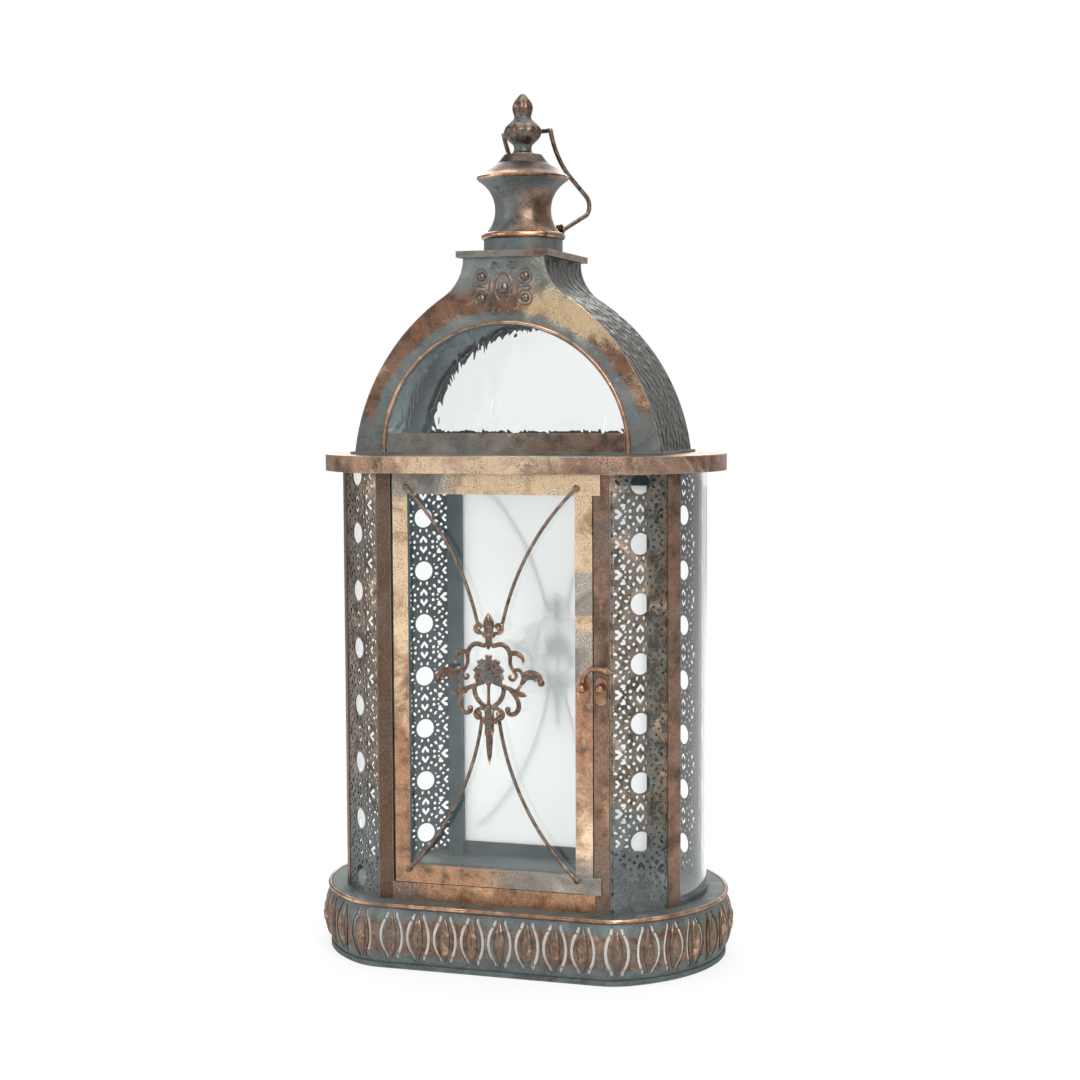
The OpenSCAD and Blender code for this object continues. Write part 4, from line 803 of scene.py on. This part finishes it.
bosses = {  # millimetres from the middle of the roof's neck
    "centreZ": 580.6, "faceY": -56.8,
    "round": [(19.5, 9.6), (19.5, -8.6)], "roundR": 4.4, "rimR": 6.4,
    "curls": [[(3.4, 17.6, 1.0), (6.4, 20.6, 1.3), (10, 19.4, 1.2), (9.4, 16.6, 1.0), (7, 17.2, 0.9)],
              [(3, -18.4, 1.0), (5.6, -21.4, 1.3), (9.4, -20.6, 1.2), (9.6, -17.4, 1.0), (7, -17.6, 0.9)],
              [(15.6, 0.6, 0.9), (19, 1.6, 1.2), (23.4, 1.4, 1.2), (25, -0.6, 1.0), (22.6, -1.4, 0.9)],
              [(11.2, 9, 0.8), (12.6, 2, 0.9), (12.2, -7, 0.8)]],
}


def ringStroke(x, z, halfWide, halfHigh, radius, knots=12):
    return [(x + halfWide * math.cos(2 * math.pi * i / knots),
             z + halfHigh * math.sin(2 * math.pi * i / knots), radius) for i in range(knots + 1)]


def makeBosses():
    rings = [ringStroke(0, 0, 7.8, 12.4, 1.5)]
    domes = [[(0, -3.6, 3.8), (0, 0, 4.8), (0, 3.6, 3.8)]]
    for side in (1, -1):
        for x, z in bosses["round"]:
            rings.append(ringStroke(side * x, z, bosses["rimR"], bosses["rimR"], 1.15))
    balls = [(side * x, z, bosses["roundR"], -1.2) for side in (1, -1) for x, z in bosses["round"]]
    front = castPiece("neckBosses", [(rings, 0.8, -0.35), (domes, 0.62, 0.6),
                                     (bothSides(bosses["curls"]), 0.8, 0.1)], balls, 0.45)
    place = Matrix.Translation((0, bosses["faceY"] * mm, bosses["centreZ"] * mm))
    work = bmesh.new()
    for turn in (0, math.pi):
        mesh = front.data.copy()
        mesh.transform(Matrix.Rotation(turn, 4, "Z") @ place)
        work.from_mesh(mesh)
        bpy.data.meshes.remove(mesh)
    work.to_mesh(front.data)
    work.free()
    front.data.shade_smooth()
    front.data.materials.append(finishes["bossCopper"])
    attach(front, "lantern")
    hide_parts("roof_bosses")
    print("bosses:", len(front.data.polygons), "faces")


finial = {  # (height, radius, depth of the lobes) in millimetres above the cap's cone
    "footZ": 698.4, "lobes": 8, "sides": 96,
    "profile": [(0, 9.4, 0), (0.9, 10.6, 0), (1.8, 9.6, 0), (2.6, 8.2, 0), (6.0, 7.4, 0), (9.0, 8.2, 0),
                (10.4, 10.4, 0.3), (12.6, 13.2, 1.0), (15.6, 15.9, 1.5), (19, 17.3, 1.7), (22, 17.0, 1.6),
                (25, 14.9, 1.3), (28, 11.4, 0.9), (30.4, 8.4, 0.3), (32, 7.4, 0), (34, 7.5, 0.2),
                (37, 8.7, 0.6), (40.6, 9.5, 0.8), (44, 8.8, 0.8), (47.4, 6.6, 0.6), (50.4, 3.9, 0.3),
                (52.4, 2.2, 0), (53.0, 0.9, 0)],
}


def makeFinial():
    sides, lobes = finial["sides"], finial["lobes"]
    points = []
    for height, radius, depth in finial["profile"]:
        for i in range(sides):
            turn = 2 * math.pi * i / sides
            groove = 1 - abs(math.cos(lobes * turn / 2)) ** 0.7
            r = (radius - depth * groove) * mm
            points.append((r * math.cos(turn), r * math.sin(turn), finial["footZ"] * mm + height * mm))
    rings = len(finial["profile"])
    faces = [(k * sides + i, k * sides + (i + 1) % sides, (k + 1) * sides + (i + 1) % sides,
              (k + 1) * sides + i) for k in range(rings - 1) for i in range(sides)]
    faces += [tuple(range(sides))[::-1], tuple((rings - 1) * sides + i for i in range(sides))]
    thing = meshObject("leafedFinial", points, faces)
    smooth = thing.modifiers.new("round", "SUBSURF")
    smooth.levels = 1
    applyModifiers(thing)
    outwards(thing)
    shadeSmooth(thing, 1.2)
    thing.data.materials.append(finishes["finialMetal"])
    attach(thing, "lantern")
    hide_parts("finial")
    print("finial:", len(thing.data.polygons), "faces")


# embossed almonds between the band's slots

band = {"fronts": 8, "ends": 12, "centreZ": 28.8 * mm, "bulgeR": 58.7 * mm, "out": 20.0 * mm}


def buildAlmondTree():
    web, given, out = newGroup("bandAlmonds", "GeometryNodeTree", {
        "Geometry": "Geometry", "Height": 0.04, "Width": 0.0098, "Rise": 0.0019, "Bead Height": 0.013,
        "Bead Width": 0.0034, "Bulge Radius": 0.0587, "Finish": "Material",
    }, {"Geometry": "Geometry"})
    bulge = given["Bulge Radius"]

    def lens(height, width, lift):  # a sphere drawn out to a pointed lens that lies on the bulge
        ball = web.add("GeometryNodeMeshUVSphere", {"Segments": 20, "Rings": 14, "Radius": 1.0})
        x, y, z = web.split(web.add("GeometryNodeInputPosition"))
        slim = web.math("SQRT", web.most(1.0 - z * z, 0.0))
        angle = z * (height * 0.5) / bulge
        radius = bulge + (y * (given["Rise"] * -1.0) + lift)
        outward = radius * web.math("COSINE", angle) - bulge
        return web.add("GeometryNodeSetPosition", {"Geometry": ball, "Position": web.join(
            outward, x * slim * (width * 0.5), radius * web.math("SINE", angle))})
    both = web.gather(lens(given["Height"], given["Width"], 0.0),
                      lens(given["Bead Height"], given["Bead Width"], 0.0011))
    turn = web.add("GeometryNodeInputNamedAttribute", {"Name": "turn"}, "Attribute", data_type="FLOAT")
    placed = web.add("GeometryNodeInstanceOnPoints", {
        "Points": given["Geometry"], "Instance": both, "Rotation": web.join(z=turn)})
    real = web.add("GeometryNodeRealizeInstances", {"Geometry": placed})
    smooth = web.add("GeometryNodeSetShadeSmooth", {"Geometry": real})
    web.put(out[0], web.add("GeometryNodeSetMaterial", {"Geometry": smooth, "Material": given["Finish"]}))
    return web.tree


def bandSpots():  # (place, turn) of each almond round the base
    spots = []
    pitch = 2 * plan["blendX"] / band["fronts"]
    blendLength = (math.pi / 2 - plan["wedge"]) * plan["blendR"]
    endLength = 2 * plan["wedge"] * plan["endR"]
    endPitch = (2 * blendLength + endLength) / band["ends"]
    blendY = plan["halfDepth"] - plan["blendR"]
    places = [((i + 0.5) * pitch - plan["blendX"], -plan["halfDepth"], -math.pi / 2)
              for i in range(band["fronts"])]
    for i in range(band["ends"]):
        along = (i + 0.5) * endPitch
        if along < blendLength:
            centre, radius = (plan["blendX"], -blendY), plan["blendR"]
            turn = -math.pi / 2 + along / radius
        elif along > blendLength + endLength:
            centre, radius = (plan["blendX"], blendY), plan["blendR"]
            turn = plan["wedge"] + (along - blendLength - endLength) / radius
        else:
            centre, radius = (plan["endC"], 0.0), plan["endR"]
            turn = -plan["wedge"] + (along - blendLength) / radius
        places.append((centre[0] + radius * math.cos(turn), centre[1] + radius * math.sin(turn), turn))
    for half in (0, math.pi):
        c, d = math.cos(half), math.sin(half)
        for x, y, turn in places:
            x, y = x + band["out"] * math.cos(turn), y + band["out"] * math.sin(turn)
            spots.append(((x * c - y * d, x * d + y * c, band["centreZ"]), turn + half))
    return spots


def makeAlmonds():
    spots = bandSpots()
    thing = meshObject("bandAlmonds", [place for place, turn in spots], [])
    turns = thing.data.attributes.new("turn", "FLOAT", "POINT")
    turns.data.foreach_set("value", [turn for place, turn in spots])
    throughTree(thing, buildAlmondTree(), {
        "Bulge Radius": band["bulgeR"], "Finish": finishes["almondCopper"]})
    outwards(thing, merge=0.000002)
    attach(thing, "lantern")
    print("band:", len(spots), "almonds,", len(thing.data.polygons), "faces")


makePanels()
makeOrnaments()
makeWires()
makeBosses()
makeFinial()
makeAlmonds()


# stage, light and camera

view = {"place": (0.532576, -1.665653, 0.488309), "azimuth": 17.47, "pitch": 4.14, "roll": -0.28,
        "lens": 66.03, "shiftX": 0.0057}


def makeCamera():
    az, pitch, roll = (math.radians(view[k]) for k in ("azimuth", "pitch", "roll"))
    forward = Vector((-math.sin(az) * math.cos(pitch), math.cos(az) * math.cos(pitch), -math.sin(pitch)))
    right = Vector((math.cos(az), math.sin(az), 0))
    up = right.cross(forward)
    right, up = math.cos(roll) * right + math.sin(roll) * up, math.cos(roll) * up - math.sin(roll) * right
    data = bpy.data.cameras.new("camera")
    data.sensor_width = 36
    data.lens = view["lens"]
    data.shift_x = view["shiftX"]
    data.clip_end = 50
    camera = bpy.data.objects.new("camera", data)
    scene.collection.objects.link(camera)
    camera.matrix_world = Matrix([
        (right.x, up.x, -forward.x, view["place"][0]), (right.y, up.y, -forward.y, view["place"][1]),
        (right.z, up.z, -forward.z, view["place"][2]), (0, 0, 0, 1)])
    scene.camera = camera


lamps = {  # name: (place, size, watts)
    "keyRight": ((1.6, -2.2, 2.2), 1.6, 60), "fillLeft": ((-2.2, -1.6, 1.4), 1.8, 28),
    "topSoft": ((0.0, 0.2, 2.8), 2.4, 45), "rimBack": ((-0.8, 2.4, 1.8), 1.6, 30),
}


def plainlySeen(web):  # 1 for the camera, and through glass
    path = web.tree.nodes.new("ShaderNodeLightPath")
    straight, through, glossy = (Signal(web, path.outputs[label]) for label in (
        "Is Camera Ray", "Is Transmission Ray", "Is Glossy Ray"))
    return web.most(straight, through), glossy


def makeStage():
    floor = meshObject("floor", [(-6, -6, 0), (6, -6, 0), (6, 9, 0), (-6, 9, 0)], [(0, 1, 2, 3)])
    floor.location.z = -0.2 * mm
    paper, web, shader, surface = newStuff("paper")
    shader.inputs["Base Color"].default_value = (0.9, 0.9, 0.9, 1)
    shader.inputs["Roughness"].default_value = 0.9
    glow = web.add("ShaderNodeEmission", {"Color": (1, 1, 1, 1), "Strength": 1.0})
    # white to the camera away from the object; its soft shadow stays close to it
    away = web.vector("LENGTH", web.place(), out="Value")
    seen = plainlySeen(web)[0] * web.step(away, 0.12, 0.42, 0.74, 1.0)
    web.put(surface, web.add("ShaderNodeMixShader", {0: seen, 1: Signal(web, shader.outputs[0]), 2: glow}))
    floor.data.materials.append(paper)

    world = bpy.data.worlds.new("studio")
    world.use_nodes = True
    scene.world = world
    web = Web(world.node_tree)
    aim = web.split(web.add("ShaderNodeTexCoord", out="Generated"))[0]
    bands = web.step(web.math("ABSOLUTE", aim - 0.25), 0.1, 0.75, 0.95, 0.3)
    plainly, glossy = plainlySeen(web)
    back = world.node_tree.nodes["Background"]
    web.put(back.inputs["Strength"], web.most(plainly, bands * glossy, 0.42))
    back.inputs["Color"].default_value = (1, 1, 1, 1)

    for name, (place, size, watts) in lamps.items():
        data = bpy.data.lights.new(name, "AREA")
        data.size = size
        data.energy = watts
        lamp = bpy.data.objects.new(name, data)
        scene.collection.objects.link(lamp)
        lamp.location = place
        aim = Vector((0, 0, 0.35)) - Vector(place)
        lamp.rotation_euler = aim.to_track_quat("-Z", "Y").to_euler()


makeCamera()
makeStage()
scene.view_settings.view_transform = "Standard"
print("stage and camera are set")
